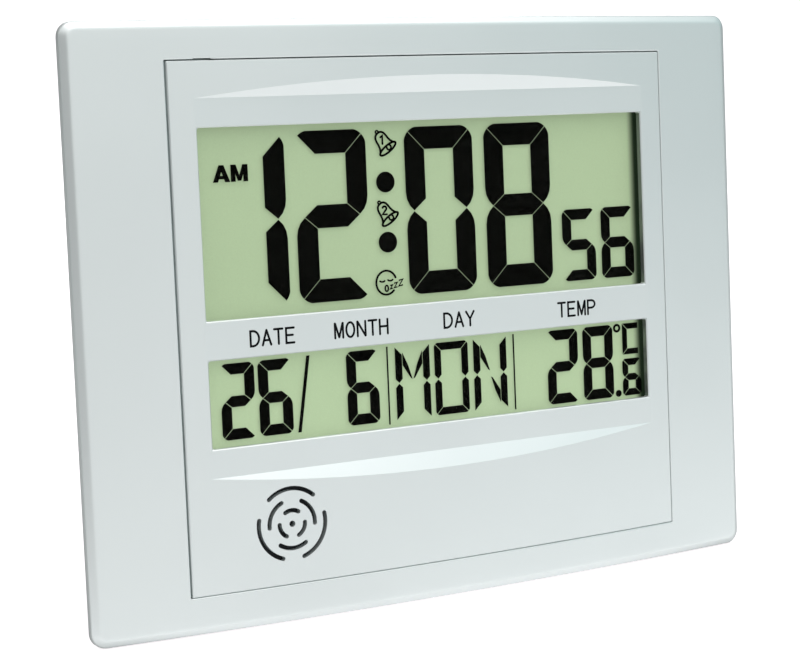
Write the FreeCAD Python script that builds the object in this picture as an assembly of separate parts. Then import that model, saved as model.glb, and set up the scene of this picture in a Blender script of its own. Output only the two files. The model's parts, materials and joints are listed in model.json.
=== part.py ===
import FreeCAD, Part
import math
import os

# Large-display calendar clock standing on a table, leaning back on its fold-out leg.
# Everything is drawn upright first: X to the right, Y from front to back, Z up, with
# the rear edge of the frame's bottom side on the X axis. The last section leans the
# whole clock back about that edge and puts it on the table plane Z = 0.
# Lengths are millimetres, angles degrees.

V = FreeCAD.Vector

# ---------------------------------------------------------------- driving dimensions

# Front frame and its gently bulged face
frame_width = 260.0
frame_height = 200.0
frame_corner_radius = 5.0
rim_depth = 4.0
face_bulge = 6.6
bevel_width = 2.4
bevel_depth = 1.4
frame_plate = 2.5
rim_wall = 2.0

# Inner face panel, let into the frame behind a fine groove
panel_half_width = 96.4
panel_bottom = 12.5
panel_top_margin = 13.1
panel_wall = 2.4
panel_edge_wall = 1.8
panel_corner_radius = 0.5
groove_gap = 0.35
ledge_front = -4.5
ledge_thickness = 2.0
ledge_width = 2.5
edge_break = 0.35
snap_notch_x = -84.4
snap_notch_width = 6.0
snap_notch_height = 0.25

# Flat display zone sunk into the bulge, with two windows
flat_zone_lift = 38.5
flat_zone_drop = 12.3
flat_zone_depth = 3.0
flat_zone_slope = 27.8
window_side_margin = 9.5
window_edge_margin = 9.5
date_window_height = 29.0
label_strip_height = 12.9
window_corner_radius = 0.8

# Display stack behind the windows
stack_overlap = 4.1
stack_lower_overlap = 5.5
stack_upper_overlap = 7.4
lens_thickness = 1.1
polariser_thickness = 0.2
glass_thickness = 0.7
segment_thickness = 0.15
optical_gap = 0.05
contact_ledge = 4.5
strip_width = 3.0
stack_side_gap = 0.2

# Seven-segment and starburst characters, laid out across a drawing of this half-width
artwork_half_width = 86.9
segment_gap = 0.24
segment_rounding = 0.72
time_digit_width = 27.3
time_digit_lower_margin = 2.7
time_digit_upper_margin = 2.1
time_digit_stroke = 8.0
time_digit_lefts = {"1": -81.6, "2": -51.0, "0": -9.0, "8": 22.8}
second_digit_width = 14.5
second_digit_height = 26.1
second_digit_stroke = 4.1
second_digit_lefts = {"5": 54.4, "6": 71.2}
colon_x = -16.7
colon_height_shares = (0.68, 0.325)
colon_radius = 3.55
date_digit_width = 12.5
date_digit_margin = 1.7
date_digit_stroke = 3.9
date_digit_lefts = (("2", -81.4), ("6", -67.8), ("6", -34.9))
temperature_digit_width = 13.4
temperature_digit_lower_margin = 0.65
temperature_digit_upper_margin = 1.4
temperature_digit_lefts = (("2", 46.1), ("8", 61.5))
tenth_digit_width = 8.5
tenth_digit_height = 13.9
tenth_digit_stroke = 2.75
tenth_digit_left = 78.7
letter_width = 13.8
letter_stroke = 2.9
letter_lefts = (("M", -16.0), ("O", -0.5), ("N", 15.3))
divider_xs = (-18.9, 32.1)
divider_width = 0.55
slash_top_x = -49.6
slash_bottom_x = -53.8
slash_width = 1.2
point_x = 76.8
point_radius = 1.25
degree_radius = 1.6
degree_hole_radius = 0.75
unit_left = 79.0
unit_right = 86.1
unit_height = 11.7
unit_stroke = 2.35

# Display retainer and circuit board
retainer_side_gap = 0.6
retainer_lower_margin = 10.4
retainer_upper_margin = 8.4
retainer_depth = 3.4
retainer_opening_margin = 7.0
board_side_inset = 1.4
board_thickness = 1.6
board_screw_lower_xs = (-36.0, 36.0)
board_screw_upper_xs = (-60.0, 0.0, 60.0)
board_screw_inset = 3.5
board_screw_radius = 1.25
board_screw_head_radius = 2.6
board_screw_head_height = 1.6
board_screw_grip = 2.4
board_boss_radius = 3.2

# Components on the board
chip_radius = 7.0
chip_height = 1.8
chip_x = -10.0
chip_drop = 5.0
crystal_radius = 1.5
crystal_length = 8.0
crystal_x = 10.0
crystal_lift = 3.0
capacitor_radius = 2.5
capacitor_height = 5.0
capacitor_xs = (44.0, 52.0)
capacitor_drop = 17.0
thermistor_radius = 1.3
thermistor_side_inset = 10.0
thermistor_lift = 9.4
thermistor_stand = 3.0
thermistor_leg_radius = 0.3

# Buzzer behind its grille
buzzer_x = -60.5
buzzer_lift = 20.5
buzzer_case_radius = 14.3
buzzer_case_front = -5.7
buzzer_case_back = -1.6
buzzer_case_wall = 1.2
buzzer_disc_radius = 12.5
buzzer_disc_thickness = 0.3
buzzer_ceramic_radius = 9.0
buzzer_ceramic_thickness = 0.25
buzzer_ring_wall = 1.3
buzzer_ring_gap = 0.2
buzzer_ring_back = -3.0
grille_hole_radius = 1.06
grille_slot_width = 1.5
grille_rings = ((4.55, 90.0, 62.0), (8.15, 30.0, 68.0), (11.95, 90.0, 83.0))

# Rear cover
cover_gap = 0.3
cover_flange = 1.5
housing_end_inset = 5.0
housing_depth = 17.0
housing_wall = 2.2
housing_corner_radius = 8.0
housing_edge_radius = 2.0

# Case screws
case_screw_panel_gap = 6.4
case_screw_side_inset = 7.0
case_screw_end_inset = 9.0
case_screw_radius = 1.3
case_screw_head_radius = 2.8
case_screw_head_height = 2.0
case_screw_length = 10.0
case_boss_radius = 3.5
case_boss_back = 8.0
case_well_wall = 1.3
case_well_floor = 2.4
screw_clearance = 0.3
thread_clearance = 0.05

# Stand leg
lean_angle = 8.0
leg_angle = 20.0
leg_half_width = 24.0
leg_thickness = 3.6
leg_inner_offset = -0.5
leg_pivot_y = 13.7
leg_pivot_z = 72.0
leg_barrel_radius = 3.2
leg_heel_inner = -2.2
leg_side_gap = 0.5
leg_floor_gap = 0.3
leg_stop_gap = 0.1
leg_top_gap = 1.6
leg_tray_wall = 2.0
leg_pin_radius = 1.25
leg_pin_clearance = 0.06
leg_pad_height = 1.5
leg_foot_taper = 5.0
leg_rib_depth = 1.2

# Battery bay for two AA cells and its sliding door
cell_radius = 7.1
cell_length = 50.5
cell_nub_radius = 2.75
cell_nub_length = 1.2
cell_gap = 0.5
cell_spring_room = 7.7
bay_tray_gap = 1.0
bay_lift = 6.0
bay_wall = 1.5
bay_floor = 0.3
bay_floor_thickness = 1.4
contact_thickness = 0.4
contact_half_width = 5.5
contact_height = 8.0
contact_rise_gap = 0.3
contact_rise_width = 0.9
contact_tab_rise = 5.0
contact_tab_half = 1.5
door_thickness = 1.8
door_overlap = 3.0
door_gap = 0.15
door_travel = 5.0
door_seat_thickness = 2.0
door_hook_length = 5.0
door_hook_reach = 1.2
door_hook_thickness = 0.8
door_hook_shares = (0.06, 0.46, 0.86)
door_rib_width = 1.2
door_rib_height = 0.5
door_rib_count = 5
door_rib_pitch = 3.0

# Setting buttons and the switches that they press
button_side_inset = 8.0
button_first_lift = 25.4
button_pitch = 18.0
button_names = ("mode", "set", "up", "down", "snooze")
button_radius = 4.0
button_proud = 0.9
button_hole_gap = 0.25
button_flange_radius = 5.2
button_flange_thickness = 1.3
button_flange_gap = 0.3
button_stem_radius = 1.6
button_travel = 0.7
button_switch_gap = 0.75
switch_size = 6.0
switch_height = 3.5
plunger_radius = 1.75
plunger_height = 0.9

# Keyhole for a wall screw, and vent slots beside the thermistor
keyhole_drop = 29.0
keyhole_radius = 4.5
keyhole_slot_radius = 2.2
keyhole_rise = 8.0
keyhole_pocket_depth = 6.5
keyhole_pocket_margin = 2.5
keyhole_pocket_wall = 1.4
vent_count = 4
vent_pitch = 4.0
vent_width = 1.4
vent_height = 8.0
vent_lift = 2.5

# Wires
wire_radius = 0.55
wire_turn_share = 0.45

# ---------------------------------------------------------------- derived places

half_width = frame_width / 2
face_radius = (half_width ** 2 + face_bulge ** 2) / (2 * face_bulge)
face_axis_y = -rim_depth - face_bulge + face_radius
far_front = -rim_depth - face_bulge - 20.0

panel_top = frame_height - panel_top_margin
flat_zone_bottom = panel_bottom + flat_zone_lift
flat_zone_top = panel_top - flat_zone_drop
window_half_width = panel_half_width - window_side_margin
date_window_bottom = flat_zone_bottom + window_edge_margin
date_window_top = date_window_bottom + date_window_height
time_window_bottom = date_window_top + label_strip_height
time_window_top = flat_zone_top - window_edge_margin

opening_half_width = panel_half_width + groove_gap / 2
opening_bottom = panel_bottom - groove_gap / 2
opening_top = panel_top + groove_gap / 2
panel_inner_half_width = panel_half_width - groove_gap / 2
panel_inner_bottom = panel_bottom + groove_gap / 2
panel_inner_top = panel_top - groove_gap / 2

flat_zone_y = -rim_depth - face_bulge + flat_zone_depth
panel_back = flat_zone_y + panel_wall

stack_half_width = window_half_width + stack_overlap
stack_bottom = date_window_bottom - stack_lower_overlap
stack_top = time_window_top + stack_upper_overlap
retainer_half_width = opening_half_width - ledge_width - retainer_side_gap
retainer_bottom = stack_bottom - retainer_lower_margin
retainer_top = stack_top + retainer_upper_margin
board_half_width = retainer_half_width - board_side_inset
board_middle = (retainer_bottom + retainer_top) / 2
button_x = -board_half_width + button_side_inset
thermistor_x = board_half_width - thermistor_side_inset
buzzer_z = panel_bottom + buzzer_lift

lens_front = panel_back
lens_back = lens_front + lens_thickness
polariser_front = lens_back + optical_gap
front_glass_front = polariser_front + polariser_thickness + optical_gap
front_glass_back = front_glass_front + glass_thickness
segment_front = front_glass_back + optical_gap
segment_back = segment_front + segment_thickness
rear_glass_front = segment_back + optical_gap
rear_glass_back = rear_glass_front + glass_thickness
reflector_back = rear_glass_back + optical_gap + polariser_thickness
retainer_ledge = reflector_back + optical_gap
board_front = retainer_ledge + retainer_depth
board_back = board_front + board_thickness

case_screw_x = opening_half_width + case_screw_panel_gap
housing_half_width = case_screw_x + case_screw_side_inset
housing_bottom = housing_end_inset
housing_top = frame_height - housing_end_inset
cover_inner = housing_depth - housing_wall
cover_front = -cover_flange
case_screw_heights = (housing_bottom + case_screw_end_inset, frame_height / 2,
                      housing_top - case_screw_end_inset)
keyhole_z = housing_top - keyhole_drop
tray_half_width = leg_half_width + leg_side_gap

time_digit_base = time_window_bottom + time_digit_lower_margin
time_digit_height = time_window_top - time_digit_upper_margin - time_digit_base
date_digit_base = date_window_bottom + date_digit_margin
date_digit_height = date_window_height - 2 * date_digit_margin
temperature_digit_base = date_window_bottom + temperature_digit_lower_margin
temperature_digit_height = date_window_top - temperature_digit_upper_margin - temperature_digit_base
artwork_stretch = window_half_width / artwork_half_width

bay_left = tray_half_width + leg_tray_wall + bay_tray_gap + door_overlap
bay_bottom = housing_bottom + bay_lift
bay_length = cell_length + cell_spring_room + 2 * contact_thickness
bay_right = bay_left + bay_length
bay_top = bay_bottom + 4 * cell_radius + 3 * cell_gap
cell_y = bay_floor + cell_gap / 2 + cell_radius
lower_cell_z = bay_bottom + cell_gap + cell_radius
upper_cell_z = lower_cell_z + 2 * cell_radius + cell_gap
rise_front = cell_y + contact_height / 2 + contact_rise_gap
rise_back = rise_front + contact_rise_width
door_seat = housing_depth - door_thickness - door_gap
door_left = bay_left - door_overlap
door_right = bay_right + door_overlap
door_bottom = bay_bottom - door_overlap
door_top = bay_top + door_overlap

leg_floor = leg_pivot_y - leg_barrel_radius - leg_floor_gap
leg_middle_offset = leg_inner_offset + leg_thickness / 2
leg_outer_offset = leg_inner_offset + leg_thickness


def sine(angle):
    return math.sin(math.radians(angle))


def cosine(angle):
    return math.cos(math.radians(angle))


def tangent(angle):
    return math.tan(math.radians(angle))


# The leg's length puts its foot on the table when the clock leans at lean_angle.
leg_reach_z = leg_pivot_z + leg_middle_offset * sine(leg_angle)
leg_reach_y = leg_pivot_y + leg_middle_offset * cosine(leg_angle)
leg_fall = cosine(leg_angle) + sine(leg_angle) * tangent(lean_angle)
leg_length = (leg_reach_z - leg_reach_y * tangent(lean_angle)) / leg_fall

# The heel above the pivot meets the tray's floor when the leg is fully open.
leg_heel_fall = leg_pivot_y - leg_floor - leg_stop_gap + leg_heel_inner * cosine(leg_angle)
leg_heel_height = leg_heel_fall / sine(leg_angle)
leg_heel_reach = math.hypot(leg_heel_height, leg_outer_offset)
tray_top = leg_pivot_z + leg_heel_reach + leg_top_gap

# ---------------------------------------------------------------- shape helpers


def box(x0, x1, y0, y1, z0, z1):
    return Part.makeBox(x1 - x0, y1 - y0, z1 - z0, V(x0, y0, z0))


def rounded_box(x0, x1, y0, y1, z0, z1, radius):
    """A box whose four edges along Y are rounded."""
    plain = box(x0, x1, y0, y1, z0, z1)
    along_y = [edge for edge in plain.Edges if abs(edge.tangentAt(edge.FirstParameter).y) > 0.9]
    return plain.makeFillet(radius, along_y)


def pin(x, z, radius, y0, y1):
    """A cylinder along Y from y0 to y1."""
    return Part.makeCylinder(radius, y1 - y0, V(x, y0, z), V(0, 1, 0))


def prism_y(points, y0, y1):
    """A flat outline of (x, z) points, extruded along Y."""
    corners = [V(x, y0, z) for x, z in points]
    face = Part.Face(Part.makePolygon(corners + corners[:1]))
    return face.extrude(V(0, y1 - y0, 0))


def prism_x(points, x0, x1):
    """A flat outline of (y, z) points, extruded along X."""
    corners = [V(x0, y, z) for y, z in points]
    face = Part.Face(Part.makePolygon(corners + corners[:1]))
    return face.extrude(V(x1 - x0, 0, 0))


def fused(shapes):
    whole = shapes[0].multiFuse(shapes[1:]) if len(shapes) > 1 else shapes[0]
    return whole.removeSplitter()


def group(shapes):
    return Part.makeCompound(shapes)


def bulged(side, bottom, top, radius, back, setback=0.0):
    """A block with half-width side whose front is the bulged face, moved back by setback."""
    bulge = Part.makeCylinder(face_radius, top - bottom, V(0, face_axis_y + setback, bottom))
    return bulge.common(rounded_box(-side, side, far_front, back, bottom, top, radius))


def bulge_face(shape):
    """The largest round face of a shape, which is its bulged front."""
    round_faces = [face for face in shape.Faces if face.Surface.TypeId == "Part::GeomCylinder"]
    return max(round_faces, key=lambda face: face.Area)


def face_y(x):
    """Where the bulged face lies at the given x."""
    return face_axis_y - math.sqrt(face_radius ** 2 - x ** 2)


# ---------------------------------------------------------------- front frame and panel


def beside_opening(point):
    """True for a point of the frame's opening, and false for one of its outline."""
    inside_x = abs(point.x) < opening_half_width + edge_break
    return inside_x and opening_bottom - edge_break < point.z < opening_top + edge_break


def outer_frame():
    body = bulged(half_width, 0, frame_height, frame_corner_radius, 0)
    body = body.makeChamfer(bevel_width, bevel_depth, bulge_face(body).Edges)
    body = body.cut(box(-opening_half_width, opening_half_width, far_front, 1, opening_bottom, opening_top))
    for kind in ("Part::GeomCircle", "Part::GeomLine"):
        edges = [edge for edge in bulge_face(body).Edges
                 if edge.Curve.TypeId == kind and beside_opening(edge.CenterOfMass)]
        body = body.makeChamfer(edge_break, edges)
    inner_radius = frame_corner_radius - rim_wall
    cavity = bulged(half_width - rim_wall, rim_wall, frame_height - rim_wall, inner_radius, 1, frame_plate)
    collar_back = ledge_front + ledge_thickness
    collar = bulged(opening_half_width + panel_edge_wall, opening_bottom - panel_edge_wall,
                    opening_top + panel_edge_wall, panel_corner_radius, collar_back, frame_plate / 2)
    bosses = []
    pilots = []
    for side in (-1, 1):
        for z in case_screw_heights:
            x = side * case_screw_x
            bosses.append(pin(x, z, case_boss_radius, face_y(x) + frame_plate / 2, case_boss_back))
            pilot_front = case_boss_back + case_well_floor - case_screw_length - screw_clearance
            pilots.append(pin(x, z, case_screw_radius + thread_clearance, pilot_front, case_boss_back))
    frame = fused([body.cut(cavity), collar] + bosses)
    seat = box(-opening_half_width, opening_half_width, far_front, ledge_front, opening_bottom, opening_top)
    through = box(-opening_half_width + ledge_width, opening_half_width - ledge_width,
                  far_front, 1, opening_bottom + ledge_width, opening_top - ledge_width)
    notch = box(snap_notch_x - snap_notch_width / 2, snap_notch_x + snap_notch_width / 2,
                far_front, ledge_front, opening_top - 1, opening_top + snap_notch_height)
    return frame.cut(fused([seat, through, notch])).cut(group(pilots))


def panel_block(back):
    """The panel's outer shape as a full block with sharp edges."""
    return bulged(panel_inner_half_width, panel_inner_bottom, panel_inner_top, panel_corner_radius, back)


def sunk_zone():
    """The room in front of the flat display zone, with its sloping ends."""
    spread = 2 * flat_zone_depth
    rise = spread / tangent(flat_zone_slope)
    outline = [(flat_zone_y, flat_zone_bottom), (flat_zone_y, flat_zone_top),
               (flat_zone_y - spread, flat_zone_top + rise),
               (flat_zone_y - spread, flat_zone_bottom - rise)]
    return prism_x(outline, -half_width, half_width)


def grille_cuts():
    """A centre hole and three rings of curved slots with round ends."""
    front = far_front
    back = buzzer_case_front
    cuts = [pin(buzzer_x, buzzer_z, grille_hole_radius, front, back)]
    for radius, first_angle, span in grille_rings:
        outer = pin(buzzer_x, buzzer_z, radius + grille_slot_width / 2, front, back)
        ring = outer.cut(pin(buzzer_x, buzzer_z, radius - grille_slot_width / 2, front, back))
        for turn in range(3):
            middle = first_angle + 120 * turn
            reach = 4 * radius
            ends = [middle - span / 2, middle - span / 4, middle, middle + span / 4, middle + span / 2]
            fan = [(buzzer_x, buzzer_z)]
            fan += [(buzzer_x + reach * cosine(a), buzzer_z + reach * sine(a)) for a in ends]
            slot = [ring.common(prism_y(fan, front, back))]
            for angle in (ends[0], ends[-1]):
                x = buzzer_x + radius * cosine(angle)
                z = buzzer_z + radius * sine(angle)
                slot.append(pin(x, z, grille_slot_width / 2, front, back))
            cuts.append(fused(slot))
    return cuts


def window_edge_cut(bottom, top):
    """A frustum that breaks the front edge of one window."""
    def outline(y, grow):
        side = window_half_width + grow
        corners = [V(-side, y, bottom - grow), V(side, y, bottom - grow),
                   V(side, y, top + grow), V(-side, y, top + grow)]
        return Part.makePolygon(corners + corners[:1])
    return Part.makeLoft([outline(flat_zone_y + edge_break, 0.0),
                          outline(flat_zone_y - edge_break, 2 * edge_break)], True)


def face_panel():
    block = panel_block(0)
    block = block.makeChamfer(edge_break, bulge_face(block).Edges).cut(sunk_zone())
    sheet = block.cut(panel_block(10).cut(sunk_zone()).translated(V(0, panel_wall, 0)))
    inset = ledge_width + groove_gap
    ledge_room = box(-half_width, half_width, ledge_front, 1, 0, frame_height)
    clear_of_ledge = box(-opening_half_width + inset, opening_half_width - inset, ledge_front, 1,
                         opening_bottom + inset, opening_top - inset)
    side = retainer_half_width + retainer_side_gap / 2
    pocket = box(-side, side, panel_back, 1, retainer_bottom - retainer_side_gap / 2,
                 retainer_top + retainer_side_gap / 2)
    sheet = sheet.cut(ledge_room.cut(clear_of_ledge)).cut(pocket)
    hollow = box(-panel_inner_half_width + panel_edge_wall, panel_inner_half_width - panel_edge_wall,
                 far_front, 1, panel_inner_bottom + panel_edge_wall, panel_inner_top - panel_edge_wall)
    edge = block.cut(hollow).cut(box(-half_width, half_width, ledge_front, 1, 0, frame_height))
    inner = buzzer_case_radius + buzzer_ring_gap
    ring = pin(buzzer_x, buzzer_z, inner + buzzer_ring_wall, far_front, buzzer_ring_back)
    ring = ring.cut(pin(buzzer_x, buzzer_z, inner, far_front, buzzer_ring_back)).common(block)
    bosses = [pin(x, z, board_boss_radius, far_front, panel_back).common(block)
              for x, z in board_screw_places()]
    panel = fused([sheet, edge, ring] + bosses)
    cuts = grille_cuts()
    for bottom, top in ((time_window_bottom, time_window_top), (date_window_bottom, date_window_top)):
        cuts.append(rounded_box(-window_half_width, window_half_width, far_front, 1,
                                bottom, top, window_corner_radius))
        cuts.append(window_edge_cut(bottom, top))
    pilot_front = panel_back - board_screw_grip - screw_clearance
    for x, z in board_screw_places():
        cuts.append(pin(x, z, board_screw_radius + thread_clearance, pilot_front, panel_back))
    return panel.cut(group(cuts))


# ---------------------------------------------------------------- display


def stack_sheet(front, back, inset=0.0):
    """One rectangular sheet of the display stack; inset shortens it at top and bottom."""
    return box(-stack_half_width, stack_half_width, front, back, stack_bottom + inset, stack_top - inset)


def elastomer_strip(z0):
    return box(-stack_half_width, stack_half_width, front_glass_back, board_front, z0, z0 + strip_width)


def segment_plate(points):
    """One display segment: its outline shrunk by half of the gap between segments."""
    corners = [V(x, segment_front, z) for x, z in points]
    face = Part.Face(Part.makePolygon(corners + corners[:1]))
    return face.makeOffset2D(-segment_gap / 2, 2).extrude(V(0, segment_thickness, 0))


def mirrored(points, width):
    return [(width - x, z) for x, z in reversed(points)]


def turned(points, width, height):
    return [(width - x, height - z) for x, z in points]


DIGIT_SEGMENTS = {"0": "abcdef", "1": "bc", "2": "abged", "5": "afgcd", "6": "afgedc", "8": "abcdefg"}


def digit(character, left, bottom, width, height, stroke):
    """Seven-segment digit with mitred strokes, a curved waist and rounded outer corners."""
    left = left * artwork_stretch
    width = width * artwork_stretch
    middle = height / 2
    half = stroke / 2
    dent = 0.4 * stroke
    waist = 0.8 * stroke
    waist_radius = (waist ** 2 + dent ** 2) / (2 * dent)
    last_angle = math.degrees(math.asin(waist / waist_radius))
    curve = [(waist_radius * (1 - cosine(angle)), middle + waist - waist_radius * sine(angle))
             for angle in (0.0, last_angle / 3, 2 * last_angle / 3)]
    upper_left = [(dent, middle), (stroke, middle + half), (stroke, height - stroke), (0, height)] + curve
    top = [(0, height), (stroke, height - stroke), (width - stroke, height - stroke), (width, height)]
    bar = [(dent, middle), (stroke, middle - half), (width - stroke, middle - half),
           (width - dent, middle), (width - stroke, middle + half), (stroke, middle + half)]
    outlines = {
        "a": top,
        "b": mirrored(upper_left, width),
        "c": turned(upper_left, width, height),
        "d": turned(top, width, height),
        "e": mirrored(turned(upper_left, width, height), width),
        "f": upper_left,
        "g": bar,
    }
    rounding = rounded_box(0, width, segment_front, segment_back, 0, height, segment_rounding * stroke)
    place = V(left, 0, bottom)
    return [segment_plate(outlines[name]).common(rounding).translated(place)
            for name in DIGIT_SEGMENTS[character]]


def letter(character, left, bottom):
    """Starburst letter with slim strokes that end in points."""
    left = left * artwork_stretch
    width = letter_width * artwork_stretch
    height = date_digit_height
    stroke = letter_stroke
    middle = height / 2
    half = stroke / 2
    upright = [(half, middle), (stroke, middle + half), (stroke, height - stroke), (0, height),
               (0, middle + half)]
    cap = [(0, height), (stroke, height - stroke), (width - stroke, height - stroke), (width, height)]
    diagonal = [(stroke, height - 0.6 * stroke), (stroke, height - 2.3 * stroke),
                (2.05 * stroke, middle + half), (width / 2, middle + 0.3 * stroke),
                (1.8 * stroke, height - 2.3 * stroke)]
    lower = mirrored(turned(upright, width, height), width)
    outlines = {
        "M": [upright, lower, mirrored(upright, width), mirrored(lower, width), diagonal,
              mirrored(diagonal, width)],
        "O": [upright, lower, mirrored(upright, width), mirrored(lower, width), cap,
              turned(cap, width, height)],
        "N": [upright, lower, mirrored(upright, width), mirrored(lower, width), diagonal,
              turned(diagonal, width, height)],
    }
    corner = segment_rounding * stroke if character == "O" else 0.2 * stroke
    rounding = rounded_box(0, width, segment_front, segment_back, 0, height, corner)
    place = V(left, 0, bottom)
    return [segment_plate(points).common(rounding).translated(place) for points in outlines[character]]


def time_segments():
    plates = []
    for character, left in time_digit_lefts.items():
        plates += digit(character, left, time_digit_base, time_digit_width, time_digit_height,
                        time_digit_stroke)
    for character, left in second_digit_lefts.items():
        plates += digit(character, left, time_digit_base, second_digit_width, second_digit_height,
                        second_digit_stroke)
    for share in colon_height_shares:
        plates.append(pin(colon_x * artwork_stretch, time_digit_base + share * time_digit_height,
                          colon_radius, segment_front, segment_back))
    return group(plates)


def date_segments():
    plates = []
    for character, left in date_digit_lefts:
        plates += digit(character, left, date_digit_base, date_digit_width, date_digit_height,
                        date_digit_stroke)
    for character, left in temperature_digit_lefts:
        plates += digit(character, left, temperature_digit_base, temperature_digit_width,
                        temperature_digit_height, date_digit_stroke)
    plates += digit("6", tenth_digit_left, temperature_digit_base, tenth_digit_width, tenth_digit_height,
                    tenth_digit_stroke)
    for character, left in letter_lefts:
        plates += letter(character, left, date_digit_base)
    bottom = temperature_digit_base
    top = bottom + temperature_digit_height
    for x in divider_xs:
        middle = x * artwork_stretch
        plates.append(box(middle - divider_width / 2, middle + divider_width / 2,
                          segment_front, segment_back, bottom, top))
    low = slash_bottom_x * artwork_stretch
    high = slash_top_x * artwork_stretch
    slash_top = date_digit_base + date_digit_height
    slash = [(low, date_digit_base), (low + slash_width, date_digit_base),
             (high + slash_width, slash_top), (high, slash_top)]
    plates.append(prism_y(slash, segment_front, segment_back))
    mark_x = point_x * artwork_stretch
    plates.append(pin(mark_x, bottom + point_radius, point_radius, segment_front, segment_back))
    ring = pin(mark_x, top - degree_radius, degree_radius, segment_front, segment_back)
    plates.append(ring.cut(pin(mark_x, top - degree_radius, degree_hole_radius, segment_front, segment_back)))
    width = (unit_right - unit_left) * artwork_stretch
    upright = [(0, 0), (unit_stroke, unit_stroke), (unit_stroke, unit_height - unit_stroke), (0, unit_height)]
    cap = [(0, unit_height), (unit_stroke, unit_height - unit_stroke),
           (width, unit_height - unit_stroke), (width, unit_height)]
    base = [(0, 0), (width, 0), (width, unit_stroke), (unit_stroke, unit_stroke)]
    place = V(unit_left * artwork_stretch, 0, top - unit_height)
    plates += [segment_plate(points).translated(place) for points in (upright, cap, base)]
    return group(plates)


def buzzer_cutout():
    radius = buzzer_case_radius + buzzer_ring_gap + buzzer_ring_wall + screw_clearance
    return pin(buzzer_x, buzzer_z, radius, far_front, housing_depth)


def screw_holes(front, back):
    return [pin(x, z, board_screw_radius + screw_clearance, front, back) for x, z in board_screw_places()]


def lcd_retainer():
    body = rounded_box(-retainer_half_width, retainer_half_width, panel_back, board_front,
                       retainer_bottom, retainer_top, 2.0)
    side = stack_half_width + stack_side_gap
    tray = box(-side, side, panel_back, retainer_ledge,
               stack_bottom - stack_side_gap, stack_top + stack_side_gap)
    inner = stack_half_width - retainer_opening_margin
    window = box(-inner, inner, panel_back, board_front,
                 stack_bottom + retainer_opening_margin, stack_top - retainer_opening_margin)
    slots = []
    for z0 in strip_places():
        slots.append(box(-side, side, panel_back, board_front,
                         z0 - stack_side_gap, z0 + strip_width + stack_side_gap))
    cuts = [tray, window, buzzer_cutout()] + slots + screw_holes(panel_back, board_front)
    return body.cut(fused(cuts))


def board_screw_places():
    low = retainer_bottom + board_screw_inset
    high = retainer_top - board_screw_inset
    return [(x, low) for x in board_screw_lower_xs] + [(x, high) for x in board_screw_upper_xs]


def strip_places():
    low = stack_bottom + (contact_ledge - strip_width) / 2
    return low, stack_top - (contact_ledge + strip_width) / 2


# ---------------------------------------------------------------- board


def circuit_board():
    board = rounded_box(-board_half_width, board_half_width, board_front, board_back,
                        retainer_bottom, retainer_top, 1.0)
    return board.cut(fused([buzzer_cutout()] + screw_holes(board_front, board_back)))


def clock_chip():
    blob = pin(chip_x, board_middle - chip_drop, chip_radius, board_back, board_back + chip_height)
    rear_edge = [edge for edge in blob.Edges if edge.BoundBox.YMin > board_back + chip_height / 2]
    return blob.makeFillet(0.6 * chip_height, rear_edge)


def crystal():
    base = V(crystal_x, board_back + crystal_radius, board_middle + crystal_lift)
    return Part.makeCylinder(crystal_radius, crystal_length, base, V(1, 0, 0))


def capacitors():
    return group([pin(x, board_middle - capacitor_drop, capacitor_radius, board_back,
                      board_back + capacitor_height) for x in capacitor_xs])


def thermistor():
    z = retainer_bottom + thermistor_lift
    top = board_back + thermistor_stand
    spread = thermistor_radius - 1.5 * thermistor_leg_radius
    bead = Part.makeSphere(thermistor_radius, V(thermistor_x, top, z))
    legs = [pin(thermistor_x + side * spread, z, thermistor_leg_radius, board_back, top)
            for side in (-1, 1)]
    return fused([bead] + legs)


def button_heights():
    first = retainer_bottom + button_first_lift
    return [first + button_pitch * index for index in range(len(button_names))]


def tact_switch(z):
    half = switch_size / 2
    body = box(button_x - half, button_x + half, board_back, board_back + switch_height, z - half, z + half)
    top = board_back + switch_height
    return fused([body, pin(button_x, z, plunger_radius, top, top + plunger_height)])


def button(z):
    """Cap with a retaining flange inside the cover and a stem down to its switch."""
    flange_back = cover_inner - button_flange_gap
    flange_front = flange_back - button_flange_thickness
    cap = pin(button_x, z, button_radius, flange_front, housing_depth + button_proud)
    rim = [edge for edge in cap.Edges if edge.BoundBox.YMin > housing_depth]
    cap = cap.makeFillet(0.5 * button_proud, rim)
    flange = pin(button_x, z, button_flange_radius, flange_front, flange_back)
    tip = board_back + switch_height + plunger_height + button_switch_gap
    return fused([cap, flange, pin(button_x, z, button_stem_radius, tip, flange_front)])


# ---------------------------------------------------------------- buzzer


def buzzer_case():
    body = pin(buzzer_x, buzzer_z, buzzer_case_radius, buzzer_case_front, buzzer_case_back)
    chamber_radius = buzzer_case_radius - buzzer_case_wall
    middle = (buzzer_case_front + buzzer_case_back) / 2
    front_room = pin(buzzer_x, buzzer_z, chamber_radius - 1.0, buzzer_case_front, middle)
    disc_room = pin(buzzer_x, buzzer_z, chamber_radius, middle, buzzer_case_back - buzzer_case_wall)
    return body.cut(front_room).cut(disc_room)


def buzzer_disc_front():
    return (buzzer_case_front + buzzer_case_back) / 2


def buzzer_disc():
    front = buzzer_disc_front()
    return pin(buzzer_x, buzzer_z, buzzer_disc_radius, front, front + buzzer_disc_thickness)


def buzzer_ceramic():
    front = buzzer_disc_front() + buzzer_disc_thickness
    return pin(buzzer_x, buzzer_z, buzzer_ceramic_radius, front, front + buzzer_ceramic_thickness)


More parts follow.
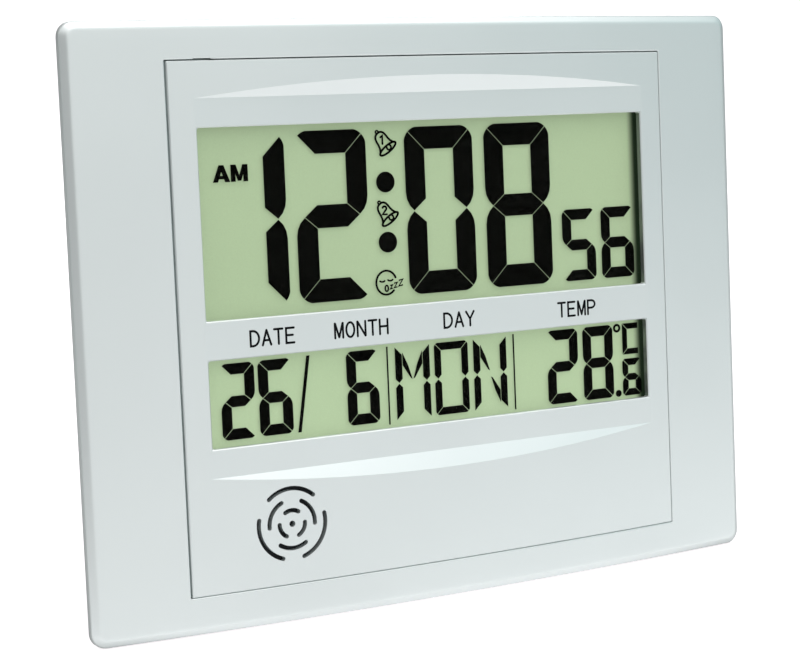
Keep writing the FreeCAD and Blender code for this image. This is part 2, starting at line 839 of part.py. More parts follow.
def wire(points):
    """A round wire along straight runs joined by tangent arcs."""
    path = [V(*point) for point in points]
    edges = []
    start = path[0]
    for before, corner, after in zip(path, path[1:], path[2:]):
        run_in = corner - before
        run_out = after - corner
        trim = wire_turn_share * min(run_in.Length, run_out.Length)
        arc_start = corner - run_in.normalize() * trim
        arc_end = corner + run_out.normalize() * trim
        turn = run_in.getAngle(run_out)
        radius = trim / math.tan(turn / 2)
        inward = (run_out - run_in).normalize()
        centre = corner + inward * (radius / math.cos(turn / 2))
        arc_middle = centre - inward * radius
        edges.append(Part.makeLine(start, arc_start))
        edges.append(Part.Arc(arc_start, arc_middle, arc_end).toShape())
        start = arc_end
    edges.append(Part.makeLine(start, path[-1]))
    spine = Part.Wire(edges)
    section = Part.Wire(Part.makeCircle(wire_radius, path[0], path[1] - path[0]))
    return spine.makePipeShell([section], True, True)


def buzzer_wire(side):
    x = buzzer_x + 4.0 * side
    arch = board_back + 4.5
    end_x = x + 6.0
    landing = retainer_bottom + 12.0
    return wire([(x, buzzer_case_back, buzzer_z + 6.0), (x, arch, buzzer_z + 6.0), (end_x, arch, landing),
                 (end_x, board_back, landing)])


# ---------------------------------------------------------------- batteries


def cell(z, nub_side):
    """An AA cell lying along X; nub_side is +1 when its nub points to +X."""
    tip = bay_right - contact_thickness if nub_side > 0 else bay_left + contact_thickness
    shoulder = tip - nub_side * cell_nub_length
    tail = tip - nub_side * cell_length
    body = Part.makeCylinder(cell_radius, abs(shoulder - tail), V(min(shoulder, tail), cell_y, z), V(1, 0, 0))
    nub = Part.makeCylinder(cell_nub_radius, cell_nub_length, V(min(shoulder, tip), cell_y, z), V(1, 0, 0))
    return fused([body, nub])


def contact_plate(wall_x, side, z0, z1):
    """A flat contact against the bay's end wall; side points from the wall into the bay."""
    inner = wall_x + side * contact_thickness
    return box(min(wall_x, inner), max(wall_x, inner),
               cell_y - contact_height / 2, cell_y + contact_height / 2, z0, z1)


def contact_leaf(wall_x, side, z):
    """A bent leaf that springs from the end wall to the cell's flat end."""
    t = contact_thickness
    root = wall_x + side * t / 2
    apex = wall_x + side * (t + cell_spring_room)
    outer = [(root, z - contact_half_width), (apex, z - 1.0), (apex, z + 1.0), (root, z + contact_half_width)]
    inner = [(root, z + contact_half_width - 2 * t), (apex - side * t, z + 1.0 - t),
             (apex - side * t, z - 1.0 + t), (root, z - contact_half_width + 2 * t)]
    return prism_y(outer + inner, cell_y - contact_height / 4, cell_y + contact_height / 4)


def contact_positive():
    tab_top = bay_top + contact_tab_rise
    plate = contact_plate(bay_right, -1, upper_cell_z - contact_half_width, upper_cell_z + contact_half_width)
    tab = box(bay_right - contact_thickness, bay_right, cell_y - contact_tab_half,
              cell_y + contact_tab_half, upper_cell_z, tab_top)
    return fused([plate, tab])


def contact_negative():
    tab_top = bay_top + contact_tab_rise
    plate = contact_plate(bay_right, -1, lower_cell_z - contact_half_width, lower_cell_z + contact_half_width)
    rise = box(bay_right - contact_thickness, bay_right, rise_front, rise_back, lower_cell_z, tab_top)
    bridge = box(bay_right - contact_thickness, bay_right, cell_y, rise_back,
                 lower_cell_z - contact_half_width, lower_cell_z)
    return fused([plate, rise, bridge, contact_leaf(bay_right, -1, lower_cell_z)])


def contact_link():
    plate = contact_plate(bay_left, 1, lower_cell_z - contact_half_width, upper_cell_z + contact_half_width)
    return fused([plate, contact_leaf(bay_left, 1, upper_cell_z)])


def battery_wire(end_y, side):
    """From a contact tab above the bay to the board."""
    x = bay_right - contact_thickness - wire_radius
    tip = bay_top + contact_tab_rise - 1.0
    landing_x = bay_right - 10.0 - 4.0 * side
    landing_z = retainer_bottom + 20.0
    arch = board_back + 5.5
    return wire([(x, end_y, tip), (x, end_y, tip + 6.0), (landing_x, arch, landing_z),
                 (landing_x, board_back, landing_z)])


# ---------------------------------------------------------------- rear cover


def door_hooks(shift, grow, y0, y1):
    """The hook places along both long edges of the door, moved by shift along X."""
    hooks = []
    length = door_right - door_left
    for share in door_hook_shares:
        x0 = door_left + share * length + shift - grow
        x1 = door_left + share * length + door_hook_length + shift + grow
        low = door_bottom - door_hook_reach - grow
        high = door_top + door_hook_reach + grow
        hooks.append(box(x0, x1, y0, y1, low, door_bottom + 1.0))
        hooks.append(box(x0, x1, y0, y1, door_top - 1.0, high))
    return hooks


def door_hook_runs():
    """Room under the cover's skin for the hooks, with open notches at the end of the slide."""
    runs = []
    length = door_right - door_left
    hook_y0 = door_seat
    hook_y1 = door_seat + door_gap + door_hook_thickness + door_gap
    low = door_bottom - door_hook_reach - door_gap
    high = door_top + door_hook_reach + door_gap
    for share in door_hook_shares:
        x0 = door_left + share * length - door_gap
        x1 = x0 + door_hook_length + 2 * door_gap + door_travel
        runs.append(box(x0, x1, hook_y0, hook_y1, low, high))
        runs.append(box(x0 + door_travel, x1, hook_y0, housing_depth + 1, low, high))
    return runs


def keyhole(y0, y1):
    entry = pin(0, keyhole_z, keyhole_radius, y0, y1)
    slot = box(-keyhole_slot_radius, keyhole_slot_radius, y0, y1, keyhole_z, keyhole_z + keyhole_rise)
    end = pin(0, keyhole_z + keyhole_rise, keyhole_slot_radius, y0, y1)
    return fused([entry, slot, end])


def rear_cover():
    flange = rounded_box(-half_width + rim_wall + cover_gap, half_width - rim_wall - cover_gap,
                         cover_front, 0, rim_wall + cover_gap, frame_height - rim_wall - cover_gap,
                         frame_corner_radius - rim_wall)
    housing = rounded_box(-housing_half_width, housing_half_width, cover_front, housing_depth,
                          housing_bottom, housing_top, housing_corner_radius)
    rear_face = max(housing.Faces, key=lambda face: face.CenterOfMass.y)
    housing = housing.makeFillet(housing_edge_radius, rear_face.Edges)
    cavity = rounded_box(-housing_half_width + housing_wall, housing_half_width - housing_wall,
                         cover_front, cover_inner, housing_bottom + housing_wall,
                         housing_top - housing_wall, housing_corner_radius - housing_wall)
    shell = fused([flange, housing]).cut(cavity)

    tray_block = box(-tray_half_width - leg_tray_wall, tray_half_width + leg_tray_wall,
                     leg_floor - leg_tray_wall, cover_inner, housing_bottom, tray_top + leg_tray_wall)
    bay_block = box(bay_left - bay_wall, bay_right + bay_wall, bay_floor - bay_floor_thickness, door_seat,
                    bay_bottom - bay_wall, bay_top + bay_wall)
    seat_margin = door_gap + bay_wall
    seat_block = box(door_left - seat_margin, door_right + door_travel + seat_margin,
                     door_seat - door_seat_thickness, cover_inner,
                     door_bottom - door_hook_reach - seat_margin, door_top + door_hook_reach + seat_margin)
    pocket_half = keyhole_radius + keyhole_pocket_margin
    pocket_bottom = keyhole_z - pocket_half
    pocket_top = keyhole_z + keyhole_rise + pocket_half
    pocket_front = cover_inner - keyhole_pocket_depth
    keyhole_block = box(-pocket_half - keyhole_pocket_wall, pocket_half + keyhole_pocket_wall,
                        pocket_front - keyhole_pocket_wall, cover_inner,
                        pocket_bottom - keyhole_pocket_wall, pocket_top + keyhole_pocket_wall)
    well_radius = case_screw_head_radius + screw_clearance
    wells = []
    well_cuts = []
    for side in (-1, 1):
        for z in case_screw_heights:
            x = side * case_screw_x
            wells.append(pin(x, z, well_radius + case_well_wall, case_boss_back, cover_inner))
            well_cuts.append(pin(x, z, case_screw_radius + screw_clearance, case_boss_back, housing_depth))
            well_cuts.append(pin(x, z, well_radius, case_boss_back + case_well_floor, housing_depth))
    cover = fused([shell, tray_block, bay_block, seat_block, keyhole_block] + wells)

    tray = box(-tray_half_width, tray_half_width, leg_floor, housing_depth, housing_bottom - 1, tray_top)
    pin_reach = tray_half_width + leg_tray_wall
    pin_hole = Part.makeCylinder(leg_pin_radius + thread_clearance / 2, 2 * pin_reach,
                                 V(-pin_reach, leg_pivot_y, leg_pivot_z), V(1, 0, 0))
    bay = box(bay_left, bay_right, bay_floor, housing_depth, bay_bottom, bay_top)
    door_recess = box(door_left - door_gap, door_right + door_gap + door_travel, door_seat, housing_depth,
                      door_bottom - door_gap, door_top + door_gap)
    tab_slots = []
    for y0, y1 in ((cell_y - contact_tab_half, cell_y + contact_tab_half), (rise_front, rise_back)):
        tab_slots.append(box(bay_right - contact_thickness - door_gap, bay_right,
                             y0 - door_gap, y1 + door_gap, bay_top, bay_top + bay_wall))
    pocket = box(-pocket_half, pocket_half, pocket_front, cover_inner, pocket_bottom, pocket_top)
    button_holes = [pin(button_x, z, button_radius + button_hole_gap, cover_inner, housing_depth)
                    for z in button_heights()]
    vents = []
    vent_middle = retainer_bottom + thermistor_lift + vent_lift
    for index in range(vent_count):
        x = thermistor_x + vent_pitch * (index - (vent_count - 1) / 2)
        vents.append(box(x - vent_width / 2, x + vent_width / 2, cover_inner, housing_depth,
                         vent_middle - vent_height / 2, vent_middle + vent_height / 2))
    cuts = [tray, pin_hole, bay, door_recess, pocket, keyhole(cover_inner, housing_depth)]
    cuts += tab_slots + well_cuts + button_holes + vents + door_hook_runs()
    for cut in cuts:
        cover = cover.cut(cut)
    return cover


def battery_door():
    front = door_seat + door_gap
    back = front + door_thickness - door_gap
    plate = box(door_left, door_right, front, back, door_bottom, door_top)
    hooks = door_hooks(0.0, 0.0, front, front + door_hook_thickness)
    ribs = []
    middle_x = door_right - 4.0
    middle_z = (door_bottom + door_top) / 2
    for index in range(door_rib_count):
        x = middle_x - door_rib_pitch * index
        ribs.append(box(x - door_rib_width / 2, x + door_rib_width / 2, back, back + door_rib_height,
                        middle_z - 8.0, middle_z + 8.0))
    return fused([plate] + hooks + ribs)


# ---------------------------------------------------------------- stand leg


def leg_whole():
    """The closed leg in its own place, longer than needed; the table plane trims its foot."""
    y0 = leg_pivot_y + leg_inner_offset
    y1 = leg_pivot_y + leg_outer_offset
    low = leg_pivot_z - leg_length - 2.0
    foot_half = leg_half_width - leg_foot_taper
    outline = [(-foot_half, low), (foot_half, low), (leg_half_width, leg_pivot_z - 12.0),
               (leg_half_width, leg_pivot_z + leg_heel_height),
               (-leg_half_width, leg_pivot_z + leg_heel_height), (-leg_half_width, leg_pivot_z - 12.0)]
    plate = prism_y(outline, y0, y1)
    barrel = Part.makeCylinder(leg_barrel_radius, 2 * leg_half_width,
                               V(-leg_half_width, leg_pivot_y, leg_pivot_z), V(1, 0, 0))
    heel = box(-leg_half_width, leg_half_width, leg_pivot_y + leg_heel_inner, y1,
               leg_pivot_z, leg_pivot_z + leg_heel_height)
    hole = Part.makeCylinder(leg_pin_radius + leg_pin_clearance, 2 * leg_half_width,
                             V(-leg_half_width, leg_pivot_y, leg_pivot_z), V(1, 0, 0))
    panel = rounded_box(-leg_half_width + 9.0, leg_half_width - 9.0, y1 - leg_rib_depth, y1,
                        low + 16.0, leg_pivot_z - 12.0, 4.0)
    leg = fused([plate, barrel, heel]).cut(hole).cut(panel)
    return leg.rotated(V(0, leg_pivot_y, leg_pivot_z), V(1, 0, 0), leg_angle)


def leg_pin():
    reach = tray_half_width + leg_tray_wall
    return Part.makeCylinder(leg_pin_radius, 2 * reach, V(-reach, leg_pivot_y, leg_pivot_z), V(1, 0, 0))


def table_slab(z0, z1):
    """Everything between two heights above the table, in the upright drawing's frame."""
    slab = box(-frame_width, frame_width, -frame_height, frame_height, z0, z1)
    return slab.rotated(V(0, 0, 0), V(1, 0, 0), lean_angle)


def stand_leg():
    return leg_whole().cut(table_slab(-20.0, leg_pad_height))


def leg_foot_pad():
    return leg_whole().common(table_slab(0.0, leg_pad_height))


# ---------------------------------------------------------------- screws


def screw(x, z, radius, head_radius, head_height, head_front, length):
    head = pin(x, z, head_radius, head_front, head_front + head_height)
    drive = [box(x - head_radius / 2, x + head_radius / 2, head_front + head_height / 2,
                 head_front + head_height, z - 0.4, z + 0.4),
             box(x - 0.4, x + 0.4, head_front + head_height / 2,
                 head_front + head_height, z - head_radius / 2, z + head_radius / 2)]
    shank = pin(x, z, radius, head_front - length, head_front)
    return fused([head, shank]).cut(fused(drive))


def case_screws():
    front = case_boss_back + case_well_floor
    return group([screw(side * case_screw_x, z, case_screw_radius, case_screw_head_radius,
                        case_screw_head_height, front, case_screw_length)
                  for side in (-1, 1) for z in case_screw_heights])


def board_screws():
    length = board_back - panel_back + board_screw_grip
    return group([screw(x, z, board_screw_radius, board_screw_head_radius, board_screw_head_height,
                        board_back, length) for x, z in board_screw_places()])


# ---------------------------------------------------------------- assembly and export

strip_low, strip_high = strip_places()
nodes = {
    "outer_frame": outer_frame(),
    "face_panel": face_panel(),
    "window_lens": stack_sheet(lens_front, lens_back),
    "lcd_front_polariser": stack_sheet(polariser_front, polariser_front + polariser_thickness),
    "lcd_front_glass": stack_sheet(front_glass_front, front_glass_back),
    "time_segments": time_segments(),
    "date_segments": date_segments(),
    "lcd_rear_glass": stack_sheet(rear_glass_front, rear_glass_back, contact_ledge),
    "lcd_reflector": stack_sheet(rear_glass_back + optical_gap, reflector_back, contact_ledge),
    "elastomer_strip_bottom": elastomer_strip(strip_low),
    "elastomer_strip_top": elastomer_strip(strip_high),
    "lcd_retainer": lcd_retainer(),
    "circuit_board": circuit_board(),
    "clock_chip": clock_chip(),
    "crystal": crystal(),
    "capacitors": capacitors(),
    "thermistor": thermistor(),
    "board_screws": board_screws(),
    "buzzer_case": buzzer_case(),
    "buzzer_disc": buzzer_disc(),
    "buzzer_ceramic": buzzer_ceramic(),
    "buzzer_wire_red": buzzer_wire(1),
    "buzzer_wire_black": buzzer_wire(-1),
    "rear_cover": rear_cover(),
    "case_screws": case_screws(),
    "battery_upper": cell(upper_cell_z, 1),
    "battery_lower": cell(lower_cell_z, -1),
    "contact_positive": contact_positive(),
    "contact_negative": contact_negative(),
    "contact_link": contact_link(),
    "battery_wire_red": battery_wire(cell_y, 1),
    "battery_wire_black": battery_wire((rise_front + rise_back) / 2, -1),
    "battery_door": battery_door(),
    "leg_pin": leg_pin(),
    "stand_leg": stand_leg(),
    "leg_foot_pad": leg_foot_pad(),
}
for name, z in zip(button_names, button_heights()):
    nodes["tact_switch_" + name] = tact_switch(z)
    nodes["button_" + name] = button(z)

leaning = {name: shape.rotated(V(0, 0, 0), V(1, 0, 0), -lean_angle) for name, shape in nodes.items()}
bounds = Part.makeCompound(list(leaning.values())).BoundBox
centre_y = (bounds.YMin + bounds.YMax) / 2

os.makedirs("parts", exist_ok=True)
for name, shape in leaning.items():
    shape.translated(V(0, -centre_y, 0)).exportStep("parts/" + name + ".step")
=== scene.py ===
# %% [markdown]
# A large-display calendar clock, standing on a table and leaning back on its fold-out leg.
# The construction is already made: this script loads it, gives each piece its finish, adds
# what is printed on the clock and shown on its display, and sets up a camera and a studio.

import json
import math

import bmesh
import bpy
import numpy as np
from mathutils import Matrix, Vector


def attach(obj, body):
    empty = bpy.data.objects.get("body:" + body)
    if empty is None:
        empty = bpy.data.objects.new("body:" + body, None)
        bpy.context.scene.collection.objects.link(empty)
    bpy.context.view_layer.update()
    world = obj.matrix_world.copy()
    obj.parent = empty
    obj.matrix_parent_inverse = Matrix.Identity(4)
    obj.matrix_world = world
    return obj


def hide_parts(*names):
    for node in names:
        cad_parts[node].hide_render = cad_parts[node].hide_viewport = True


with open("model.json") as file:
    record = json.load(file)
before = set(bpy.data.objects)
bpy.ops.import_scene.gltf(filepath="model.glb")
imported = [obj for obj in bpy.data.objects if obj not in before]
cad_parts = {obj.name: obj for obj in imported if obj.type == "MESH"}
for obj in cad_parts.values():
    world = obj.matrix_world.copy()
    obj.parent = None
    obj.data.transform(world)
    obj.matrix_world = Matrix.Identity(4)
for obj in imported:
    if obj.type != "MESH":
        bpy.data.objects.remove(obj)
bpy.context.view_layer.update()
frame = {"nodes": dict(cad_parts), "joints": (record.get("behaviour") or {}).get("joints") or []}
nodes = frame["nodes"]


# %% [markdown]
# The clock is easiest to describe standing upright: X to the right, Y from front to back and
# Z up, in millimetres, from the rear edge of the frame's bottom side. The real one leans
# back. The lean is read from the direction in which the rear buttons are pressed, and the
# place of the edge from the lowest points of the frame's own mesh.

# %% From upright millimetres to the standing clock
MM = 0.001

press_axis = next(joint["axis"] for joint in frame["joints"] if joint["name"] == "press_mode")
lean = math.atan2(press_axis[2], -press_axis[1])


def points_of(mesh):
    """All corner points of a mesh, in metres, as an array of rows."""
    points = np.empty(len(mesh.vertices) * 3)
    mesh.vertices.foreach_get("co", points)
    return points.reshape(-1, 3)


edge_reach = 0.1 * MM
frame_points = points_of(nodes["outer_frame"].data)
on_edge = frame_points[:, 2] < frame_points[:, 2].min() + edge_reach
edge_y = frame_points[on_edge][:, 1].mean()


def turned_by_lean(rows):
    """Rows of x, y, z turned about X by the lean."""
    x, y, z = rows.T
    return np.column_stack([x, y * math.cos(lean) + z * math.sin(lean),
                            z * math.cos(lean) - y * math.sin(lean)])


def stand(points):
    """Upright rows in millimetres, turned by the lean and moved to the table, in metres."""
    return turned_by_lean(np.asarray(points, float).reshape(-1, 3) * MM) + (0, edge_y, 0)


def upright(points):
    """The way back: rows of the standing clock as upright millimetres."""
    x, y, z = points.T
    y = y - edge_y
    return np.column_stack([x, y * math.cos(lean) - z * math.sin(lean),
                            z * math.cos(lean) + y * math.sin(lean)]) / MM


def upright_box(name):
    """The lowest and highest upright coordinates of a loaded piece, in millimetres."""
    rows = upright(points_of(nodes[name].data))
    return rows.min(0), rows.max(0)


print("lean, degrees:", round(math.degrees(lean), 2), "rear edge at y, mm:", round(edge_y / MM, 2))

# %% [markdown]
# The camera looks from the left and a little above, from about 0.7 m. A long lens keeps the
# frame's sides nearly parallel, the camera is rolled by about a degree and a half, and a small
# shift of its view sets how high the clock stands in the picture.

# %% Camera
camera_place_mm = (-328.93, -586.31, 158.51)
camera_yaw = 28.996
camera_pitch = -11.590
camera_roll = 1.471
focal_length_mm = 87.10
frame_shift_y = -0.04375

camera_data = bpy.data.cameras.new("studio_camera")
camera_data.lens = focal_length_mm
camera_data.shift_y = frame_shift_y
camera_data.clip_start = 0.01
camera = bpy.data.objects.new("studio_camera", camera_data)
bpy.context.scene.collection.objects.link(camera)
turn = Matrix.Rotation(math.radians(-camera_yaw), 4, "Z")
turn = turn @ Matrix.Rotation(math.radians(90 + camera_pitch), 4, "X")
turn = turn @ Matrix.Rotation(math.radians(camera_roll), 4, "Z")
camera.matrix_world = Matrix.Translation(Vector(stand([camera_place_mm])[0])) @ turn
bpy.context.scene.camera = camera
print("camera at, m:", [round(value, 4) for value in camera.location])

# %% [markdown]
# Colours are written as sRGB hex values, as a paint chart gives them, and turned to the
# linear values that a shader wants. One helper adds a shader node, sets it and links it.
# Sockets are given by name, or by number where a node has only one or several of one name.
# The numbers of the colour mix get names here: its two colours and its result.

# %% Colour and node helpers
MIX_A, MIX_B, MIX_RESULT = 6, 7, 2


def linear(hex_colour):
    """sRGB hex to linear light and full alpha, each channel by the standard sRGB curve."""
    channels = [int(hex_colour[i:i + 2], 16) / 255 for i in (1, 3, 5)]
    curve = [c / 12.92 if c <= 0.04045 else ((c + 0.055) / 1.055) ** 2.4 for c in channels]
    return (*curve, 1.0)


def put(tree, kind, inputs=None, **settings):
    """Adds a node; settings are its own fields, inputs are values or sockets to link."""
    node = tree.nodes.new(kind)
    for name, value in settings.items():
        setattr(node, name, value)
    for name, value in (inputs or {}).items():
        if isinstance(value, bpy.types.NodeSocket):
            tree.links.new(value, node.inputs[name])
        else:
            node.inputs[name].default_value = value
    return node


def new_material(name):
    """An empty node material and its tree."""
    material = bpy.data.materials.new(name)
    material.use_nodes = True
    material.node_tree.nodes.clear()
    return material, material.node_tree


def finish_surface(tree, shader):
    """Links a shader to the material's output."""
    put(tree, "ShaderNodeOutputMaterial", {"Surface": shader})


def dress(material, *pieces):
    """Gives pieces, or loaded pieces by name, their finish."""
    for piece in pieces:
        mesh = nodes[piece].data if isinstance(piece, str) else piece.data
        mesh.materials.clear()
        mesh.materials.append(material)


print("white is", linear("#ffffff"))

# %% [markdown]
# The studio is a long pale floor. To the camera, and in whatever mirrors it, the floor adds
# light of its own, so that it turns white and still shows the clock's soft shadow. Sprayed
# silver mirrors the floor broadly. So in mirrors the glow is a little stronger in front of the
# clock, weaker far to the left, and gone under the clock and behind it, where it is shaded.

# %% Floor
floor_half = 8.0
floor_glow, mirrored_ahead, mirrored_left = 0.84, 1.14, 0.26
ahead_from_y, ahead_to_y = -0.026, -0.016
left_from_x, left_to_x = -0.50, -0.10

floor_mesh = bpy.data.meshes.new("studio_floor")
floor_mesh.from_pydata([(-floor_half, -floor_half, 0), (floor_half, -floor_half, 0),
                        (floor_half, floor_half, 0), (-floor_half, floor_half, 0)],
                       [], [(0, 1, 2, 3)])
floor = bpy.data.objects.new("studio_floor", floor_mesh)
bpy.context.scene.collection.objects.link(floor)

floor_paper, tree = new_material("white_paper_floor")
sight = put(tree, "ShaderNodeLightPath")
seen = put(tree, "ShaderNodeMath", {0: sight.outputs["Is Camera Ray"],
                                    1: sight.outputs["Is Transmission Ray"]}, operation="MAXIMUM")
seen = put(tree, "ShaderNodeMath", {0: seen.outputs[0], 1: sight.outputs["Is Glossy Ray"]},
           operation="MAXIMUM")
spot = put(tree, "ShaderNodeNewGeometry").outputs["Position"]
spot = put(tree, "ShaderNodeSeparateXYZ", {0: spot})
ahead = put(tree, "ShaderNodeMapRange",
            {"Value": spot.outputs["Y"], "From Min": ahead_from_y, "From Max": ahead_to_y,
             "To Min": mirrored_ahead, "To Max": 0.0}, interpolation_type="SMOOTHSTEP")
beside = put(tree, "ShaderNodeMapRange",
             {"Value": spot.outputs["X"], "From Min": left_from_x, "From Max": left_to_x,
              "To Min": mirrored_left, "To Max": 1.0}, interpolation_type="SMOOTHSTEP")
mask = put(tree, "ShaderNodeMath", {0: ahead.outputs[0], 1: beside.outputs[0]},
           operation="MULTIPLY")
mirrored = put(tree, "ShaderNodeMix", {0: sight.outputs["Is Glossy Ray"], 2: 1.0,
                                       3: mask.outputs[0]})
strength = put(tree, "ShaderNodeMath", {0: mirrored.outputs[0], 1: floor_glow},
               operation="MULTIPLY")
paper = put(tree, "ShaderNodeBsdfDiffuse", {"Color": linear("#b4b4b4")})
glow = put(tree, "ShaderNodeEmission", {"Color": linear("#fffafc"),
                                        "Strength": strength.outputs[0]})
lit = put(tree, "ShaderNodeAddShader", {0: paper.outputs[0], 1: glow.outputs[0]})
both = put(tree, "ShaderNodeMixShader", {0: seen.outputs[0], 1: paper.outputs[0],
                                         2: lit.outputs[0]})
finish_surface(tree, both.outputs[0])
floor_mesh.materials.append(floor_paper)
print("floor:", 2 * floor_half, "m wide")

# %% [markdown]
# The world is a bright ceiling over a greyer horizon, darker where the viewer stands and
# behind the clock, and cooler to the right, because sprayed silver takes its tone from what
# stands around it. The stops of the sky are pairs of height, from the horizon up, and level.

# %% World
sky_stops = [(0.00, 0.45), (0.10, 0.50), (0.26, 1.32), (0.80, 1.26)]
plain_side, plain_until_x = (1.00, 1.00, 1.00, 1), 0.30
cool_side, cool_from_x = (0.50, 0.655, 0.665, 1), 0.76
viewer = Vector((-0.79, -0.61, 0.05)).normalized()
viewer_shade, viewer_edge, viewer_core = 0.24, 0.78, 0.95
behind_shade, behind_from_y, behind_full_y = 0.36, -0.1, 0.35

world = bpy.data.worlds.new("studio_sky")
bpy.context.scene.world = world
world.use_nodes = True
tree = world.node_tree
tree.nodes.clear()
direction = put(tree, "ShaderNodeTexCoord").outputs["Generated"]
axes = put(tree, "ShaderNodeSeparateXYZ", {0: direction})
height = put(tree, "ShaderNodeValToRGB", {0: axes.outputs["Z"]})
ramp = height.color_ramp.elements
while len(ramp) < len(sky_stops):
    ramp.new(0.5)
for stop, (position, level) in zip(ramp, sky_stops):
    stop.position = position
    stop.color = (level, level, level, 1)
side = put(tree, "ShaderNodeMapRange", {"Value": axes.outputs["X"], "From Min": plain_until_x,
                                        "From Max": cool_from_x})
tint = put(tree, "ShaderNodeMix", {0: side.outputs[0], MIX_A: plain_side, MIX_B: cool_side},
           data_type="RGBA")
sky = put(tree, "ShaderNodeMix", {0: 1.0, MIX_A: height.outputs[0],
                                  MIX_B: tint.outputs[MIX_RESULT]},
          data_type="RGBA", blend_type="MULTIPLY", clamp_result=False)
toward = put(tree, "ShaderNodeVectorMath", {0: direction, 1: viewer}, operation="DOT_PRODUCT")
shade = put(tree, "ShaderNodeMapRange",
            {"Value": toward.outputs["Value"], "From Min": viewer_edge, "From Max": viewer_core,
             "To Min": 1.0, "To Max": viewer_shade}, interpolation_type="SMOOTHSTEP")
behind = put(tree, "ShaderNodeMapRange",
             {"Value": axes.outputs["Y"], "From Min": behind_from_y,
              "From Max": behind_full_y, "To Min": 1.0, "To Max": behind_shade},
             interpolation_type="SMOOTHSTEP")
shade = put(tree, "ShaderNodeMath", {0: shade.outputs[0], 1: behind.outputs[0]},
            operation="MULTIPLY")
room = put(tree, "ShaderNodeBackground", {0: sky.outputs[MIX_RESULT], 1: shade.outputs[0]})
put(tree, "ShaderNodeOutputWorld", {"Surface": room.outputs[0]})
print("sky:", len(sky_stops), "stops")

# %% [markdown]
# A large soft box hangs over the clock, a little in front of it, and draws the shadow on the
# floor. A second one behind and to the right makes up for the darker sky there, so the rear
# isn't left in the dark.

# %% Lamps
aim = (0.0, 0.0, 0.1)


def soft_box(name, place_m, width_m, height_m, watts, tint):
    """A rectangular lamp at a place, turned towards the middle of the clock."""
    data = bpy.data.lights.new(name, "AREA")
    data.shape = "RECTANGLE"
    data.size = width_m
    data.size_y = height_m
    data.energy = watts
    data.color = linear(tint)[:3]
    lamp = bpy.data.objects.new(name, data)
    bpy.context.scene.collection.objects.link(lamp)
    lamp.location = place_m
    turned_to = (Vector(aim) - Vector(place_m)).to_track_quat("-Z", "Y")
    lamp.rotation_euler = turned_to.to_euler()


soft_box("overhead_box", (0.1, -0.40, 1.25), 1.5, 0.9, watts=6.5, tint="#fff0f3")
soft_box("back_fill", (0.40, 1.00, 0.80), 0.9, 0.6, watts=6.0, tint="#ffffff")
print("lamps:", [light.name for light in bpy.data.lights])

# %% [markdown]
# New pieces are surfaces on a grid: rows of points in upright millimetres. One helper joins
# the rows with four-sided faces that point outwards, another makes a flat plate from an
# outline, a third joins several of them, and a fourth stands the piece on the table and lets
# it ride with the clock's body.

# %% Grids and plates


def add_piece(name, points_mm, faces, material_slot, smooth=True):
    """A new piece of the clock from upright points and faces that point outwards."""
    mesh = bpy.data.meshes.new(name)
    mesh.from_pydata(stand(points_mm).tolist(), [], faces)
    if smooth:
        mesh.shade_smooth()
    piece = bpy.data.objects.new(name, mesh)
    bpy.context.scene.collection.objects.link(piece)
    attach(piece, "clock")
    return piece


def closed_ring(rows):
    """A grid of (n, m, 3) points that closes both ways, as points and four-sided faces.

    The signed volume under all faces tells whether they point outwards: the sum of
    a . (b x c) over both triangles of each face. If it is negative, the faces are turned.
    """
    n, m = rows.shape[:2]
    i, j = np.meshgrid(np.arange(n), np.arange(m), indexing="ij")
    i2, j2 = (i + 1) % n, (j + 1) % m
    quads = np.stack([i * m + j, i * m + j2, i2 * m + j2, i2 * m + j], -1).reshape(-1, 4)
    points = rows.reshape(-1, 3)
    a, b, c, d = (points[quads[:, k]] for k in range(4))
    volume = (a * np.cross(b, c)).sum() + (a * np.cross(c, d)).sum()
    return points, (quads if volume > 0 else quads[:, ::-1]).tolist()


def plate(outline, y0, y1):
    """A flat outline of (x, z) rows from y0 back to y1; its area's sign sets the order."""
    x, z = np.asarray(outline, float).T
    if (x * np.roll(z, -1) - z * np.roll(x, -1)).sum() < 0:
        x, z = x[::-1], z[::-1]
    n = len(x)
    k = np.arange(n)
    points = np.vstack([np.column_stack([x, np.full(n, y), z]) for y in (y0, y1)])
    sides = np.stack([k, k + n, (k + 1) % n + n, (k + 1) % n], -1).tolist()
    return points, [k.tolist(), (k[::-1] + n).tolist()] + sides


def together(parts):
    """Several (points, faces) pairs as one."""
    starts = np.cumsum([0] + [len(points) for points, faces in parts])
    faces = [[index + start for index in face]
             for start, (points, faces) in zip(starts, parts) for face in faces]
    return np.vstack([points for points, faces in parts]), faces


print("a plate has", len(plate([(0, 0), (1, 0), (1, 1)], 0, 1)[1]), "faces on three corners")

# %% [markdown]
# The frame is one moulding: a face that bulges gently from side to side, a soft bevel, a rim,
# and an opening for the inner panel. In the construction the bevel has sharp edges. Here the
# same cross-section is carried round the outline with its edges eased, as a sprayed moulding
# has them. The face is a cylinder whose radius follows from its width and its bulge. The panel
# sits a little low and to the right, so the groove round it is widest at the left and the top.
# A short notch widens the groove a little more at the top left, over one of the panel's snaps.

# %% The bulged face in numbers
frame_low, frame_high = upright_box("outer_frame")
half_width = frame_high[0]
frame_top = frame_high[2]
rim_depth = 4.0
face_bulge = -frame_low[1] - rim_depth
face_radius = (half_width ** 2 + face_bulge ** 2) / (2 * face_bulge)
axis_y = face_radius - rim_depth - face_bulge


def face_y(x):
    """Depth of the bulged face: the axis less the root of radius squared minus x squared."""
    return axis_y - np.sqrt(face_radius ** 2 - np.asarray(x, float) ** 2)


print("frame:", round(2 * half_width, 1), "x", round(frame_top, 1), "mm, face radius",
      round(face_radius))

